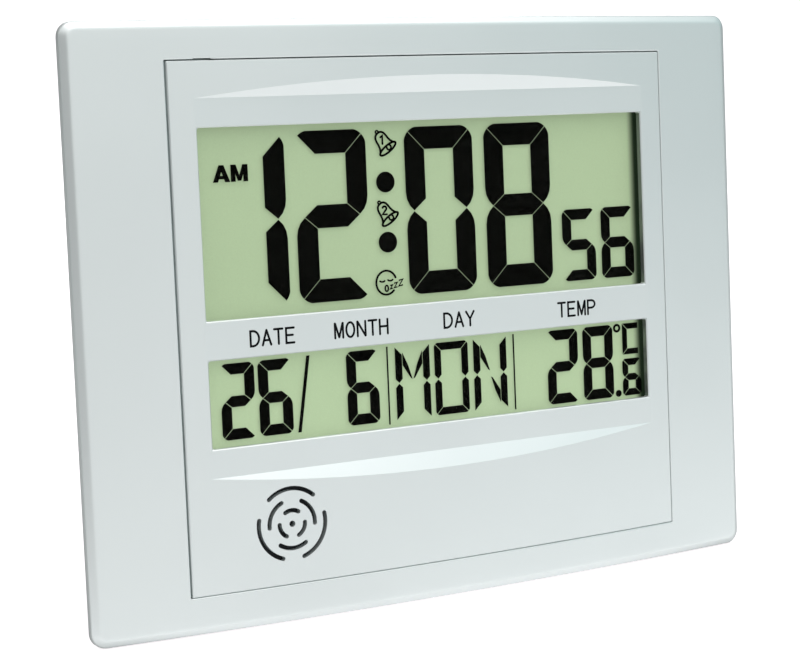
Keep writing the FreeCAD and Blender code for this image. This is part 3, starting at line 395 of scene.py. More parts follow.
# %% Outlines round the frame
opening_left, opening_right, opening_bottom, opening_top = -96.875, 96.325, 12.575, 187.075
notch_left, notch_right, notch_rise, notch_draft = -87.4, -81.4, 0.25, 0.04
outer_corner, corner_shrink, least_outer_corner = 5.0, 0.8, 2.6
inner_corner, least_inner_corner = 0.3, 0.05
side_steps = 40
corner_steps = 8


def along_top():
    """Shares of the top side, two more at either end of the notch, and which lie in the notch."""
    width = opening_right - opening_left
    ends = np.array([notch_right + notch_draft, notch_right - notch_draft,
                     notch_left + notch_draft, notch_left - notch_draft])
    ends = (opening_right - ends) / width
    share = np.sort(np.concatenate([np.linspace(0, 1, side_steps + 1)[1:-1], ends]))
    return share, (share > (ends[0] + ends[1]) / 2) & (share < (ends[2] + ends[3]) / 2)


def rounded_outline(left, right, bottom, top, radius, rise=0.0):
    """Rounded rectangle as (x, z) rows: four quarter circles joined by divided sides."""
    quarter = np.linspace(-90, 0, corner_steps + 1) * np.pi / 180
    centres = [(right - radius, bottom + radius), (right - radius, top - radius),
               (left + radius, top - radius), (left + radius, bottom + radius)]
    arcs = [np.column_stack([x + radius * np.cos(quarter + k * np.pi / 2),
                             z + radius * np.sin(quarter + k * np.pi / 2)])
            for k, (x, z) in enumerate(centres)]
    even = np.linspace(0, 1, side_steps + 1)[1:-1]
    top_share, in_notch = along_top()
    rows = []
    for k, corner in enumerate(arcs):
        share = top_share if k == 1 else even
        start, end = corner[-1], arcs[(k + 1) % 4][0]
        side = start + np.outer(share, end - start)
        if k == 1:
            side[:, 1] += rise * in_notch
        rows += [corner, side]
    return np.vstack(rows)


def outer_line(inset):
    """The frame's outline moved inwards; its corners tighten by a share of that, to a least."""
    return rounded_outline(-half_width + inset, half_width - inset, inset, frame_top - inset,
                           max(outer_corner - corner_shrink * inset, least_outer_corner))


def inner_line(grow, rise=0.0):
    """The opening's outline moved outwards into the frame."""
    return rounded_outline(opening_left - grow, opening_right + grow, opening_bottom - grow,
                           opening_top + grow, max(inner_corner + grow, least_inner_corner), rise)


def at_depth(line, depth):
    """(x, z) rows with a depth: one number, or one for each row."""
    return np.column_stack([line[:, 0], np.broadcast_to(depth, len(line)), line[:, 1]])


def on_face(line, drop=0.0):
    """(x, z) rows laid on the bulged face, or a drop behind it."""
    return at_depth(line, face_y(line[:, 0]) + drop)


print("points round the frame:", len(outer_line(0)))

# %% Profile of the frame's edges
bevel_width, bevel_depth, bevel_ease = 2.4, 1.4, 0.5
rim_ease, lip_ease, edge_ease = 1.1, 0.35, 0.3


def bevel_drop(inset):
    """A hinge eased by a root: half the slope times (u + root of u squared plus ease squared)."""
    u = bevel_width - inset
    return bevel_depth / bevel_width / 2 * (u + math.hypot(u, bevel_ease))


def eased(angle, ease):
    """Inset and drop of a point on a round: from the wall (angle 0) to the face (angle 90)."""
    angle = math.radians(angle)
    return ease * (1 - math.cos(angle)), ease * (1 - math.sin(angle))


print("bevel drops by", round(bevel_drop(0), 2), "mm at the frame's side")

# %% [markdown]
# The profile's rows run from the ledge that carries the panel, up the groove's wall and over
# its lip, across the face to the bevel, round the rim and down the side, and back along the
# inside. Each row is one line round the whole frame. The four rows of the side's rear edge
# run the other way, from the back to the side, so the mesh folds over itself there, by less
# than half a millimetre.

# %% Frame
ledge_front, ledge_back, ledge_width, ledge_cut = -4.5, -2.5, 2.5, 0.1
plate_depth = 2.5
lip_angles, behind_lip = (0, 30, 60, 90), (0.5, 0.8)
band_inner, band_outer, band_rows = 1.6, 5.5, 15
bevel_insets = np.arange(5.0, 0.7, -0.3)
rim_angles = (60, 50, 40, 30, 20, 10, 0)
side_front, side_back = 0.2, 0.15
back_insets = (0.45, 1.85)
wall_inset, wall_cut, wall_rear = 2.0, 0.15, -0.6
skin_edge, plate_edge = 2.2, (2.0, 1.8)

rows = [at_depth(inner_line(-ledge_width), ledge_back),
        at_depth(inner_line(-ledge_width), ledge_front + ledge_cut),
        at_depth(inner_line(ledge_cut - ledge_width), ledge_front),
        at_depth(inner_line(-ledge_cut, notch_rise), ledge_front),
        at_depth(inner_line(0.0, notch_rise), ledge_front - ledge_cut)]
for angle in lip_angles:
    grow, drop = eased(angle, lip_ease)
    rows.append(on_face(inner_line(grow, notch_rise), drop))
rows += [on_face(inner_line(grow, notch_rise)) for grow in behind_lip]
start, end = inner_line(band_inner), outer_line(band_outer)
rows += [on_face(start + share * (end - start)) for share in np.linspace(0, 1, band_rows)]
rows += [on_face(outer_line(inset), bevel_drop(inset)) for inset in bevel_insets]
rim_inset, rim_drop = eased(rim_angles[0], rim_ease)
rim_start = bevel_drop(rim_inset) - rim_drop
for angle in rim_angles:
    inset, drop = eased(angle, rim_ease)
    rows.append(on_face(outer_line(inset), rim_start + drop))
rows += [on_face(outer_line(0.0), rim_start + rim_ease + side_front),
         at_depth(outer_line(0.0), -edge_ease - side_back)]
for angle in (90, 60, 30, 0):
    inset, drop = eased(angle, edge_ease)
    rows.append(at_depth(outer_line(edge_ease - drop), inset - edge_ease))
rows += [at_depth(outer_line(inset), 0.0) for inset in back_insets]
rows += [at_depth(outer_line(wall_inset), -wall_cut), at_depth(outer_line(wall_inset), wall_rear),
         on_face(outer_line(wall_inset), plate_depth), on_face(outer_line(skin_edge), plate_depth)]
rows += [on_face(inner_line(grow), plate_depth) for grow in plate_edge]
rows.append(at_depth(inner_line(plate_edge[-1]), ledge_back))
front_frame = add_piece("eased_front_frame", *closed_ring(np.stack(rows)), "silver_plastic")
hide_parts("outer_frame")
print("front frame:", len(front_frame.data.polygons), "faces")

# %% [markdown]
# The inner panel keeps the construction's own shape: windows, sloping ends of the flat zone,
# grille slots. Its bulge is made of flat strips there, which sprayed silver would show. So a
# copy gets the true direction of the cylinder at each corner of its bulged faces.

# %% Inner panel
merge_mm = 0.001
work = bmesh.new()
work.from_mesh(nodes["face_panel"].data)
bmesh.ops.remove_doubles(work, verts=work.verts, dist=merge_mm * MM)
panel_mesh = bpy.data.meshes.new("inner_panel")
work.to_mesh(panel_mesh)
work.free()
inner_panel = bpy.data.objects.new("inner_panel", panel_mesh)
bpy.context.scene.collection.objects.link(inner_panel)
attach(inner_panel, "clock")
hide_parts("face_panel")
print("inner panel:", len(panel_mesh.vertices), "points after merging")

# %% True directions on its bulge
near_mm, near_degrees = 0.05, 3
corner_point = np.empty(len(panel_mesh.loops), int)
panel_mesh.loops.foreach_get("vertex_index", corner_point)
face_size = np.empty(len(panel_mesh.polygons), int)
panel_mesh.polygons.foreach_get("loop_total", face_size)
face_direction = np.empty(len(panel_mesh.polygons) * 3)
panel_mesh.polygons.foreach_get("normal", face_direction)
corner_face = np.repeat(np.arange(len(face_size)), face_size)
flat_direction = face_direction.reshape(-1, 3)[corner_face]

x, y, z = upright(points_of(panel_mesh))[corner_point].T
reach = np.hypot(x, y - axis_y)
round_direction = turned_by_lean(np.column_stack([x / reach, (y - axis_y) / reach,
                                                  np.zeros(len(x))]))
alike = (round_direction * flat_direction).sum(1) > math.cos(math.radians(near_degrees))
near = alike & (abs(reach - face_radius) < near_mm)
on_bulge = (np.bincount(corner_face, near) == face_size)[corner_face]
panel_mesh.shade_smooth()
directions = np.where(on_bulge[:, None], round_direction, flat_direction)
panel_mesh.normals_split_custom_set(directions.tolist())
print("corners on the bulge:", int(on_bulge.sum()), "of", len(on_bulge))

# %% [markdown]
# The display cell is glass, polariser and sealed edge laminated to one pane. It stands for
# three thin sheets, so that light has fewer surfaces to cross on its way to the reflector.

# %% Display cell
cell_low, cell_high = upright_box("lcd_front_polariser")
cell_back = upright_box("lcd_rear_glass")[1][1]
cell_line = [(cell_low[0], cell_low[2]), (cell_high[0], cell_low[2]),
             (cell_high[0], cell_high[2]), (cell_low[0], cell_high[2])]
display_cell = add_piece("laminated_display_cell", *plate(cell_line, cell_low[1], cell_back),
                         "display_glass", smooth=False)
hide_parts("lcd_front_polariser", "lcd_front_glass", "lcd_rear_glass")
print("display cell:", round(cell_back - cell_low[1], 2), "mm thick")

# %% [markdown]
# Behind the grille lies a disc of black dust cloth, so nothing of the buzzer shows. It follows
# the panel's bulge: rings and spokes give its front, and its back is the same grid, deeper.

# %% Dust cloth
grille_x, grille_z, cloth_radius = -60.5, 33.0, 13.6
cloth_depth, cloth_thickness = 2.53, 0.13
cloth_middle, cloth_rings, cloth_spokes = 0.02, 12, 48
shares = np.linspace(cloth_middle, 1.0, cloth_rings)
spokes = np.linspace(0, 2 * np.pi, cloth_spokes + 1)[:-1]
radius, around = np.meshgrid(shares * cloth_radius, spokes, indexing="ij")
cloth_x = grille_x + radius * np.cos(around)
cloth_front = np.stack([cloth_x, face_y(cloth_x) + cloth_depth,
                        grille_z + radius * np.sin(around)], -1)
cloth_back = cloth_front[::-1] + (0, cloth_thickness, 0)
cloth_rows = np.concatenate([cloth_front, cloth_back])
dust_cloth = add_piece("grille_dust_cloth", *closed_ring(cloth_rows), "black_rubber")
print("dust cloth:", 2 * cloth_radius, "mm across")

# %% [markdown]
# What is printed is drawn with strokes of one width, as an engraver draws letters: a line of
# points, thickened to a ribbon. Letters are lines in a box of width and height one, and round
# parts are arcs.

# %% Strokes
least_cosine = 0.55
tip_steps = 7


def arc(x, z, half_x, half_z, start, end, steps=14):
    """Points of an ellipse from one angle to another: centre plus (half x cos, half z sin)."""
    angle = np.radians(np.linspace(start, end, steps))
    return np.column_stack([x + half_x * np.cos(angle), z + half_z * np.sin(angle)])


def unit(rows):
    """Rows divided by their own length."""
    return rows / np.linalg.norm(rows, axis=1)[:, None]


def stroke(points, width, y0, y1, round_ends=True):
    """A line made a ribbon, or a ring if it ends where it starts.

    Each corner moves along its bisector by half the width over the cosine of half its turn,
    which is held above a least value so that sharp corners don't grow spikes.
    """
    points = np.asarray(points, float)
    closed = np.allclose(points[0], points[-1])
    points = points[:-1] if closed else points
    after = unit(np.roll(points, -1, axis=0) - points)
    before = np.roll(after, 1, axis=0)
    if not closed:
        before[0], after[-1] = after[0], before[-1]
    along = unit(before + after)
    side = along[:, ::-1] * (-1, 1)
    spread = (side * after[:, ::-1] * (-1, 1)).sum(1)
    offset = side * (width / 2 / np.clip(spread, least_cosine, 1))[:, None]
    left, right = points + offset, points - offset
    if closed:
        return closed_ring(np.stack([at_depth(left, y0), at_depth(right, y0),
                                     at_depth(right, y1), at_depth(left, y1)]))
    turn = np.radians(np.linspace(90, -90, tip_steps))[1:-1, None]
    tip = points[-1] + width / 2 * (np.cos(turn) * along[-1] + np.sin(turn) * side[-1])
    tail = points[0] - width / 2 * (np.cos(turn) * along[0] + np.sin(turn) * side[0])
    if not round_ends:
        tip, tail = tip[:0], tail[:0]
    return plate(np.vstack([left, tip, right[::-1], tail]), y0, y1)


print("a bar has", len(stroke([(0, 0), (1, 0)], 0.1, 0, 1)[0]), "points")

# %% Letters
letter_gap = 0.42
letter_lines = {
    "A": [[(0, 0), (0.5, 1)], [(0.5, 1), (1, 0)], [(0.17, 0.32), (0.83, 0.32)]],
    "D": [np.vstack([[(0, 0), (0, 1), (0.3, 1)], arc(0.3, 0.5, 0.7, 0.5, 80, -80),
                     [(0.3, 0), (0, 0)]])],
    "E": [[(0.95, 1), (0, 1), (0, 0), (0.95, 0)], [(0, 0.52), (0.8, 0.52)]],
    "H": [[(0, 0), (0, 1)], [(1, 0), (1, 1)], [(0, 0.52), (1, 0.52)]],
    "M": [[(0, 0), (0, 1)], [(0.03, 1), (0.5, 0.05)], [(0.5, 0.05), (0.97, 1)],
          [(1, 1), (1, 0)]],
    "N": [[(0, 0), (0, 1)], [(0.02, 1), (0.98, 0)], [(1, 0), (1, 1)]],
    "O": [arc(0.5, 0.5, 0.5, 0.5, 90, 450, 33)],
    "P": [np.vstack([[(0, 0), (0, 1), (0.5, 1)], arc(0.5, 0.73, 0.5, 0.27, 75, -75, 9),
                     [(0.5, 0.46), (0, 0.46)]])],
    "S": [np.vstack([arc(0.5, 0.76, 0.48, 0.24, 25, 255, 12),
                     arc(0.5, 0.25, 0.5, 0.25, 75, -155, 12)])],
    "T": [[(0, 1), (1, 1)], [(0.5, 1), (0.5, 0)]],
    "U": [np.vstack([[(0, 1)], arc(0.5, 0.32, 0.5, 0.32, 180, 360, 13), [(1, 1)]])],
    "W": [[(0, 1), (0.25, 0)], [(0.25, 0), (0.5, 0.85)], [(0.5, 0.85), (0.75, 0)],
          [(0.75, 0), (1, 1)]],
    "Y": [[(0, 1), (0.5, 0.48), (1, 1)], [(0.5, 0.48), (0.5, 0)]],
    "Z": [[(0, 1), (1, 1), (0, 0), (1, 0)]],
}


def word(text, left, right, bottom, height, width, y0, y1):
    """A word between two sides: letters of equal width, a share of that width apart."""
    letter_width = (right - left - width) / (len(text) + letter_gap * (len(text) - 1))
    size = np.array([letter_width, height - width])
    corner = np.array([left + width / 2, bottom + width / 2])
    pitch = np.array([letter_width * (1 + letter_gap), 0])
    return [stroke(corner + index * pitch + np.asarray(line) * size, width, y0, y1)
            for index, character in enumerate(text) for line in letter_lines[character]]


print("letters:", "".join(letter_lines))

# %% [markdown]
# Four column words are printed in near-black on the flat band between the windows. The ink
# stands 0.03 mm proud, as screen printing does.

# %% Words on the panel
flat_y = -7.6
ink_mm = 0.03
words_base, words_height, words_stroke = 92.8, 5.7, 0.76
column_words = (("DATE", -72.1, -55.4), ("MONTH", -41.1, -20.3), ("DAY", 1.2, 13.9),
                ("TEMP", 48.2, 64.7))
words = [part for text, left, right in column_words
         for part in word(text, left, right, words_base, words_height, words_stroke,
                          flat_y - ink_mm, flat_y)]
panel_words = add_piece("printed_column_words", *together(words), "display_black", smooth=False)
print("column words:", len(words), "strokes")

# %% [markdown]
# The display's small signs are etched like its figures: AM, two alarm bells with their
# numbers and a sleeping face for the snooze. They lie in the same thin layer as the figures.

# %% Bells
layer_low, layer_high = upright_box("time_segments")
layer_front, layer_back = layer_low[1], layer_high[1]
bell_tilt, bell_size = 35, 0.88
number_place, number_stroke = (-0.55, 0.75), 0.68


def turned(points, degrees, place, size=1.0):
    """Flat points scaled, turned to the left about the origin and moved to a place."""
    angle = math.radians(degrees)
    spin = np.array([[math.cos(angle), math.sin(angle)], [-math.sin(angle), math.cos(angle)]])
    return size * np.asarray(points, float) @ spin + place


half_dome = np.array([(0.0, 4.35), (0.8, 4.3), (1.6, 3.85), (2.15, 3.0), (2.4, 1.8), (2.5, 0.4),
                      (2.75, -0.9), (3.3, -2.1), (4.0, -2.9)])
dome = np.vstack([half_dome[:0:-1] * (-1, 1), half_dome])
mouth = arc(0, -3.1, 4.15, 1.3, 0, 360, 41)
knob = arc(0, 4.95, 0.55, 0.55, 0, 360, 17)
clapper = arc(0.7, -2.9, 0.95, 1.0, 150, 390, 13)
bell_shapes = [(dome, 0.72), (mouth, 0.72), (knob, 0.55), (clapper, 0.65)]


def bell(place, number_lines):
    """A tilted bell, a dome that flares to an oval mouth, with its upright number inside."""
    parts = [stroke(turned(points, bell_tilt, place, bell_size), width, layer_front, layer_back)
             for points, width in bell_shapes]
    centre = np.add(place, number_place)
    return parts + [stroke(turned(points, 0, centre), number_stroke, layer_front, layer_back)
                    for points in number_lines]


one = [[(-0.6, 1.0), (0.1, 1.5), (0.1, -1.3)]]
two = [np.vstack([arc(0, 0.75, 0.75, 0.7, 160, -35, 12), [(-0.75, -1.3), (0.85, -1.3)]])]
bells = bell((-16.75, 158.0), one) + bell((-16.95, 134.0), two)
print("bells:", len(bells), "strokes")

# %% [markdown]
# AM is bold, so its letters are built of slabs instead of strokes, in a box of width and
# height one. The sleeping face is a head open at its right, two closed eyes and a round mouth,
# with three leaning Z that grow as they rise.

# %% AM and the sleeping face
block_size, block_base = (6.1, 5.6), 147.2
block_a = [[(0, 0), (0.29, 0), (0.63, 1), (0.36, 1)], [(1, 0), (0.71, 0), (0.37, 1), (0.64, 1)],
           [(0.18, 0.18), (0.82, 0.18), (0.76, 0.38), (0.24, 0.38)]]
block_m = [[(0, 0), (0.27, 0), (0.27, 1), (0, 1)], [(0.73, 0), (1, 0), (1, 1), (0.73, 1)],
           [(0.10, 1), (0.30, 1), (0.60, 0.05), (0.40, 0.05)],
           [(0.70, 1), (0.90, 1), (0.60, 0.05), (0.40, 0.05)]]
signs = [plate(np.array(block) * block_size + (left, block_base), layer_front, layer_back)
         for left, blocks in ((-80.3, block_a), (-73.9, block_m)) for block in blocks]
signs += bells

head = arc(-17.95, 110.1, 3.9, 4.1, 22, 316, 48)
left_eye = arc(-19.5, 110.9, 0.95, 0.45, 200, 340, 9)
right_eye = arc(-16.4, 111.1, 0.95, 0.45, 200, 340, 9)
yawn = arc(-17.9, 108.1, 0.6, 1.0, 0, 360, 21)
signs += [stroke(line, width, layer_front, layer_back)
          for line, width in ((head, 0.7), (left_eye, 0.6), (right_eye, 0.6), (yawn, 0.55))]

letter_z = np.array([(0.3, 1), (1.3, 1), (0, 0), (1, 0)]) - (0.6, 0.5)
z_narrow, z_tilt, z_stroke = 0.85, 12, 0.5
z_places = ((-16.1, 108.5, 1.15), (-14.4, 109.0, 1.5), (-12.4, 109.7, 1.9))
signs += [stroke(turned(letter_z * (size * z_narrow, size), z_tilt, (x, z)), z_stroke,
                 layer_front, layer_back, round_ends=False) for x, z, size in z_places]
display_signs = add_piece("display_signs", *together(signs), "display_black", smooth=False)
print("display signs:", len(signs), "strokes")

# %% [markdown]
# On the back the names of the five setting buttons are printed beside them. They are laid out
# as they are read from behind, and mirrored to the right place: that turns the faces, so the
# order of each face's corners is turned back.

# %% Words on the back
back_y = upright_box("rear_cover")[1][1]
button_side = -upright_box("button_mode")[1][0]
name_gap, name_pitch, name_height, name_stroke = 2.2, 2.35, 2.8, 0.42
names_end = button_side - name_gap
names = []
for name in ("mode", "set", "up", "down", "snooze"):
    low, high = upright_box("button_" + name)
    base = (low[2] + high[2]) / 2 - name_height / 2
    names += word(name.upper(), names_end - name_pitch * len(name), names_end, base, name_height,
                  name_stroke, back_y, back_y + ink_mm)
mirror_x = np.array([-1, 1, 1])
names = [(points * mirror_x, [face[::-1] for face in faces]) for points, faces in names]
back_names = add_piece("printed_button_names", *together(names), "display_black", smooth=False)
print("button names:", len(names), "strokes")

# %% [markdown]
# The front is ABS sprayed with a fine aluminium paint under a satin lacquer. The paint is
# mostly metallic: it takes the tone of the room, and the lacquer keeps the highlights wide
# and soft. The flakes are about 0.05 mm, too fine to show, so they are drawn at 0.4 mm, faint.
# On the windows' short side walls the tone is painted a darker grey: painted shade, standing in
# for the dark display that these walls mirror.

# %% Silver paint


def pattern_place(tree, size_mm):
    """Object coordinates counted in steps of one size, for a pattern of that size."""
    place = put(tree, "ShaderNodeTexCoord").outputs["Object"]
    steps = 1 / (size_mm * MM)
    counted = put(tree, "ShaderNodeMapping", {"Vector": place, "Scale": (steps, steps, steps)})
    return counted.outputs[0]


flake_mm, drift_mm = 0.4, 45
flake_relief, flake_strength = 0.02, 0.04
window_half, wall_reach, side_on = 86.9, 0.8, 0.9

silver_paint, tree = new_material("sprayed_silver_abs")
flakes = put(tree, "ShaderNodeTexNoise", {"Vector": pattern_place(tree, flake_mm), "Scale": 1.0,
                                          "Detail": 2.0})
drift = put(tree, "ShaderNodeTexNoise", {"Vector": pattern_place(tree, drift_mm), "Scale": 1.0,
                                         "Detail": 1.0})
tone = put(tree, "ShaderNodeMix", {0: drift.outputs[0], MIX_A: linear("#d1d9d8"),
                                   MIX_B: linear("#d6dedd")}, data_type="RGBA")
across = put(tree, "ShaderNodeSeparateXYZ", {0: pattern_place(tree, 1.0)})
aside = put(tree, "ShaderNodeMath", {0: across.outputs["X"]}, operation="ABSOLUTE")
at_wall = put(tree, "ShaderNodeMath", {0: aside.outputs[0], 1: window_half, 2: wall_reach},
              operation="COMPARE")
facing = put(tree, "ShaderNodeTexCoord").outputs["Normal"]
facing = put(tree, "ShaderNodeSeparateXYZ", {0: facing})
facing = put(tree, "ShaderNodeMath", {0: facing.outputs["X"]}, operation="ABSOLUTE")
sideways = put(tree, "ShaderNodeMath", {0: facing.outputs[0], 1: side_on},
               operation="GREATER_THAN")
wall_painted_shade = put(tree, "ShaderNodeMath", {0: at_wall.outputs[0], 1: sideways.outputs[0]},
           operation="MULTIPLY")
# Painted shade: the windows' side walls are drawn in a darker grey, as if mirroring the dark
# display.
tone = put(tree, "ShaderNodeMix", {0: wall_painted_shade.outputs[0], MIX_A: tone.outputs[MIX_RESULT],
                                   MIX_B: linear("#7f8584")}, data_type="RGBA")
gloss = put(tree, "ShaderNodeMapRange", {"Value": flakes.outputs[0], "To Min": 0.36,
                                         "To Max": 0.44})
grain = put(tree, "ShaderNodeBump", {"Strength": flake_strength, "Distance": flake_relief * MM,
                                     "Height": flakes.outputs[0]})
paint = put(tree, "ShaderNodeBsdfPrincipled",
            {"Base Color": tone.outputs[MIX_RESULT], "Metallic": 0.7,
             "Roughness": gloss.outputs[0], "Normal": grain.outputs[0]})
finish_surface(tree, paint.outputs[0])
dress(silver_paint, front_frame, inner_panel, "outer_frame", "face_panel")
print("paint on:", front_frame.name, inner_panel.name)

# %% [markdown]
# Clear sheets are the acrylic window and the laminated display cell. Each is drawn as a thin
# sheet that lets light straight through, a little tinted, and mirrors a little of the room.
# Bending light in sheets this thin would only add noise. Both are coated against reflections,
# so their index is set below the 1.49 of acrylic and the 1.52 of glass. Only the outer side
# mirrors: from inside, Fresnel's law turns back all light beyond a certain slant, and in a
# pane that doesn't bend light it would never get out, so the display would go dark.

# %% Clear sheets
smear_mm, smear_roughness = 12, 0.04


def clear_sheet(name, tint, ior, roughness):
    """A tinted pane with a mirror: Fresnel's share for its index, on its outer side only."""
    material, tree = new_material(name)
    share = put(tree, "ShaderNodeFresnel", {"IOR": ior})
    inside = put(tree, "ShaderNodeNewGeometry").outputs["Backfacing"]
    outside = put(tree, "ShaderNodeMath", {0: 1.0, 1: inside}, operation="SUBTRACT")
    share = put(tree, "ShaderNodeMath", {0: share.outputs[0], 1: outside.outputs[0]},
                operation="MULTIPLY")
    pane = put(tree, "ShaderNodeBsdfTransparent", {"Color": linear(tint)})
    smears = put(tree, "ShaderNodeTexNoise", {"Vector": pattern_place(tree, smear_mm),
                                              "Scale": 1.0, "Detail": 3.0})
    soft = put(tree, "ShaderNodeMapRange", {"Value": smears.outputs[0], "To Min": roughness,
                                            "To Max": roughness + smear_roughness})
    mirror = put(tree, "ShaderNodeBsdfAnisotropic", {"Color": linear("#ffffff"),
                                                     "Roughness": soft.outputs[0]})
    both = put(tree, "ShaderNodeMixShader", {0: share.outputs[0], 1: pane.outputs[0],
                                             2: mirror.outputs[0]})
    finish_surface(tree, both.outputs[0])
    return material


dress(clear_sheet("coated_clear_acrylic", "#fefffe", ior=1.06, roughness=0.06), "window_lens")
dress(clear_sheet("laminated_display_glass", "#fefffe", ior=1.03, roughness=0.10),
      display_cell, "lcd_front_polariser", "lcd_front_glass", "lcd_rear_glass")
print("clear sheets: window and display cell")

# %% [markdown]
# Behind the glass lies the reflector, a green-grey film with a fine pearly grain. A share of its
# tone is painted light: the film glows in its own colour, a little more in the lower window, so
# that it looks evenly lit also close to the figures and the window's edges. Its sides run out to
# a painted shadow under the window's edge. The dark figures are the liquid crystal itself, nearly
# black.

# %% Display film
edge_shadow_start, edge_shadow_end = 84.3, 87.9
film_glow, film_glow_low = 0.93, 1.10
low_row_top, high_row_base = 92.0, 102.0
pearl_mm = 0.5

display_film, tree = new_material("pearl_reflector_film")
pearl = put(tree, "ShaderNodeTexNoise", {"Vector": pattern_place(tree, pearl_mm), "Scale": 1.0,
                                         "Detail": 2.0})
tone = put(tree, "ShaderNodeMix", {0: pearl.outputs[0], MIX_A: linear("#8b997d"),
                                   MIX_B: linear("#91a083")}, data_type="RGBA")
across = put(tree, "ShaderNodeSeparateXYZ", {0: pattern_place(tree, 1.0)})
aside = put(tree, "ShaderNodeMath", {0: across.outputs["X"]}, operation="ABSOLUTE")
# Painted shadow: the film turns near-black towards the window's side walls, where they shade it.
painted_edge_shadow = put(tree, "ShaderNodeMapRange", {"Value": aside.outputs[0], "From Min": edge_shadow_start,
                                          "From Max": edge_shadow_end}, interpolation_type="SMOOTHSTEP")
film_and_painted_shadow = put(tree, "ShaderNodeMix", {0: painted_edge_shadow.outputs[0], MIX_A: tone.outputs[MIX_RESULT],
                                      MIX_B: linear("#152014")}, data_type="RGBA")
# Painted light: the film glows with its own colour, stronger in the lower window than in the
# upper.
film_glow_strength = put(tree, "ShaderNodeMapRange",
          {"Value": across.outputs["Z"], "From Min": low_row_top, "From Max": high_row_base,
           "To Min": film_glow_low, "To Max": film_glow})
film = put(tree, "ShaderNodeBsdfPrincipled",
           {"Base Color": film_and_painted_shadow.outputs[MIX_RESULT], "Roughness": 0.6,
            "Specular IOR Level": 0.2, "Emission Color": film_and_painted_shadow.outputs[MIX_RESULT],
            "Emission Strength": film_glow_strength.outputs[0]})
finish_surface(tree, film.outputs[0])
dress(display_film, "lcd_reflector")
print("film fades out from", edge_shadow_start, "to", edge_shadow_end, "mm from the middle")

# %% Figures and printed words


def ink(name, dark, light, grain_mm, roughness):
    """A matt black whose tone and roughness drift a little with its grain."""
    material, tree = new_material(name)
    grains = put(tree, "ShaderNodeTexNoise", {"Vector": pattern_place(tree, grain_mm),
                                              "Scale": 1.0})
    tone = put(tree, "ShaderNodeMix", {0: grains.outputs[0], MIX_A: linear(dark),
                                       MIX_B: linear(light)}, data_type="RGBA")
    rough = put(tree, "ShaderNodeMapRange", {"Value": grains.outputs[0], "To Min": roughness,
                                             "To Max": roughness + 0.1})
    body = put(tree, "ShaderNodeBsdfPrincipled",
               {"Base Color": tone.outputs[MIX_RESULT], "Roughness": rough.outputs[0],
                "Specular IOR Level": 0.02})
    finish_surface(tree, body.outputs[0])
    return material


dress(ink("liquid_crystal_black", "#060605", "#0b0b09", 0.5, 0.5), display_signs,
      "time_segments", "date_segments")
dress(ink("screen_printed_black", "#121415", "#1c1e1f", 0.3, 0.6), panel_words, back_names)
print("display black on", display_signs.name)

# %% [markdown]
# The remaining pieces are moulded plastics, rubber, metals and the board. They share one
# recipe: a tone that drifts slightly, a roughness that follows a grain of a real size, and a
# bump from the same grain. A table gives each finish its two tones, its grain in millimetres,
# the roughness from and to, the height of the bump in millimetres and how metallic it is.

# %% Plain finishes


def plain_finish(name, dark, light, grain_mm, rough_low, rough_high, bump_mm, metallic):
    """A material whose tone and roughness follow one noise with grains of the given size."""
    material, tree = new_material(name)
    grains = put(tree, "ShaderNodeTexNoise", {"Vector": pattern_place(tree, grain_mm),
                                              "Scale": 1.0, "Detail": 3.0})
    tone = put(tree, "ShaderNodeMix", {0: grains.outputs[0], MIX_A: linear(dark),
                                       MIX_B: linear(light)}, data_type="RGBA")
    rough = put(tree, "ShaderNodeMapRange", {"Value": grains.outputs[0], "To Min": rough_low,
                                             "To Max": rough_high})
    bump = put(tree, "ShaderNodeBump", {"Strength": 0.5, "Distance": bump_mm * MM,
                                        "Height": grains.outputs[0]})
    body = put(tree, "ShaderNodeBsdfPrincipled",
               {"Base Color": tone.outputs[MIX_RESULT], "Metallic": metallic,
                "Roughness": rough.outputs[0], "Normal": bump.outputs[0]})
    finish_surface(tree, body.outputs[0])
    return material


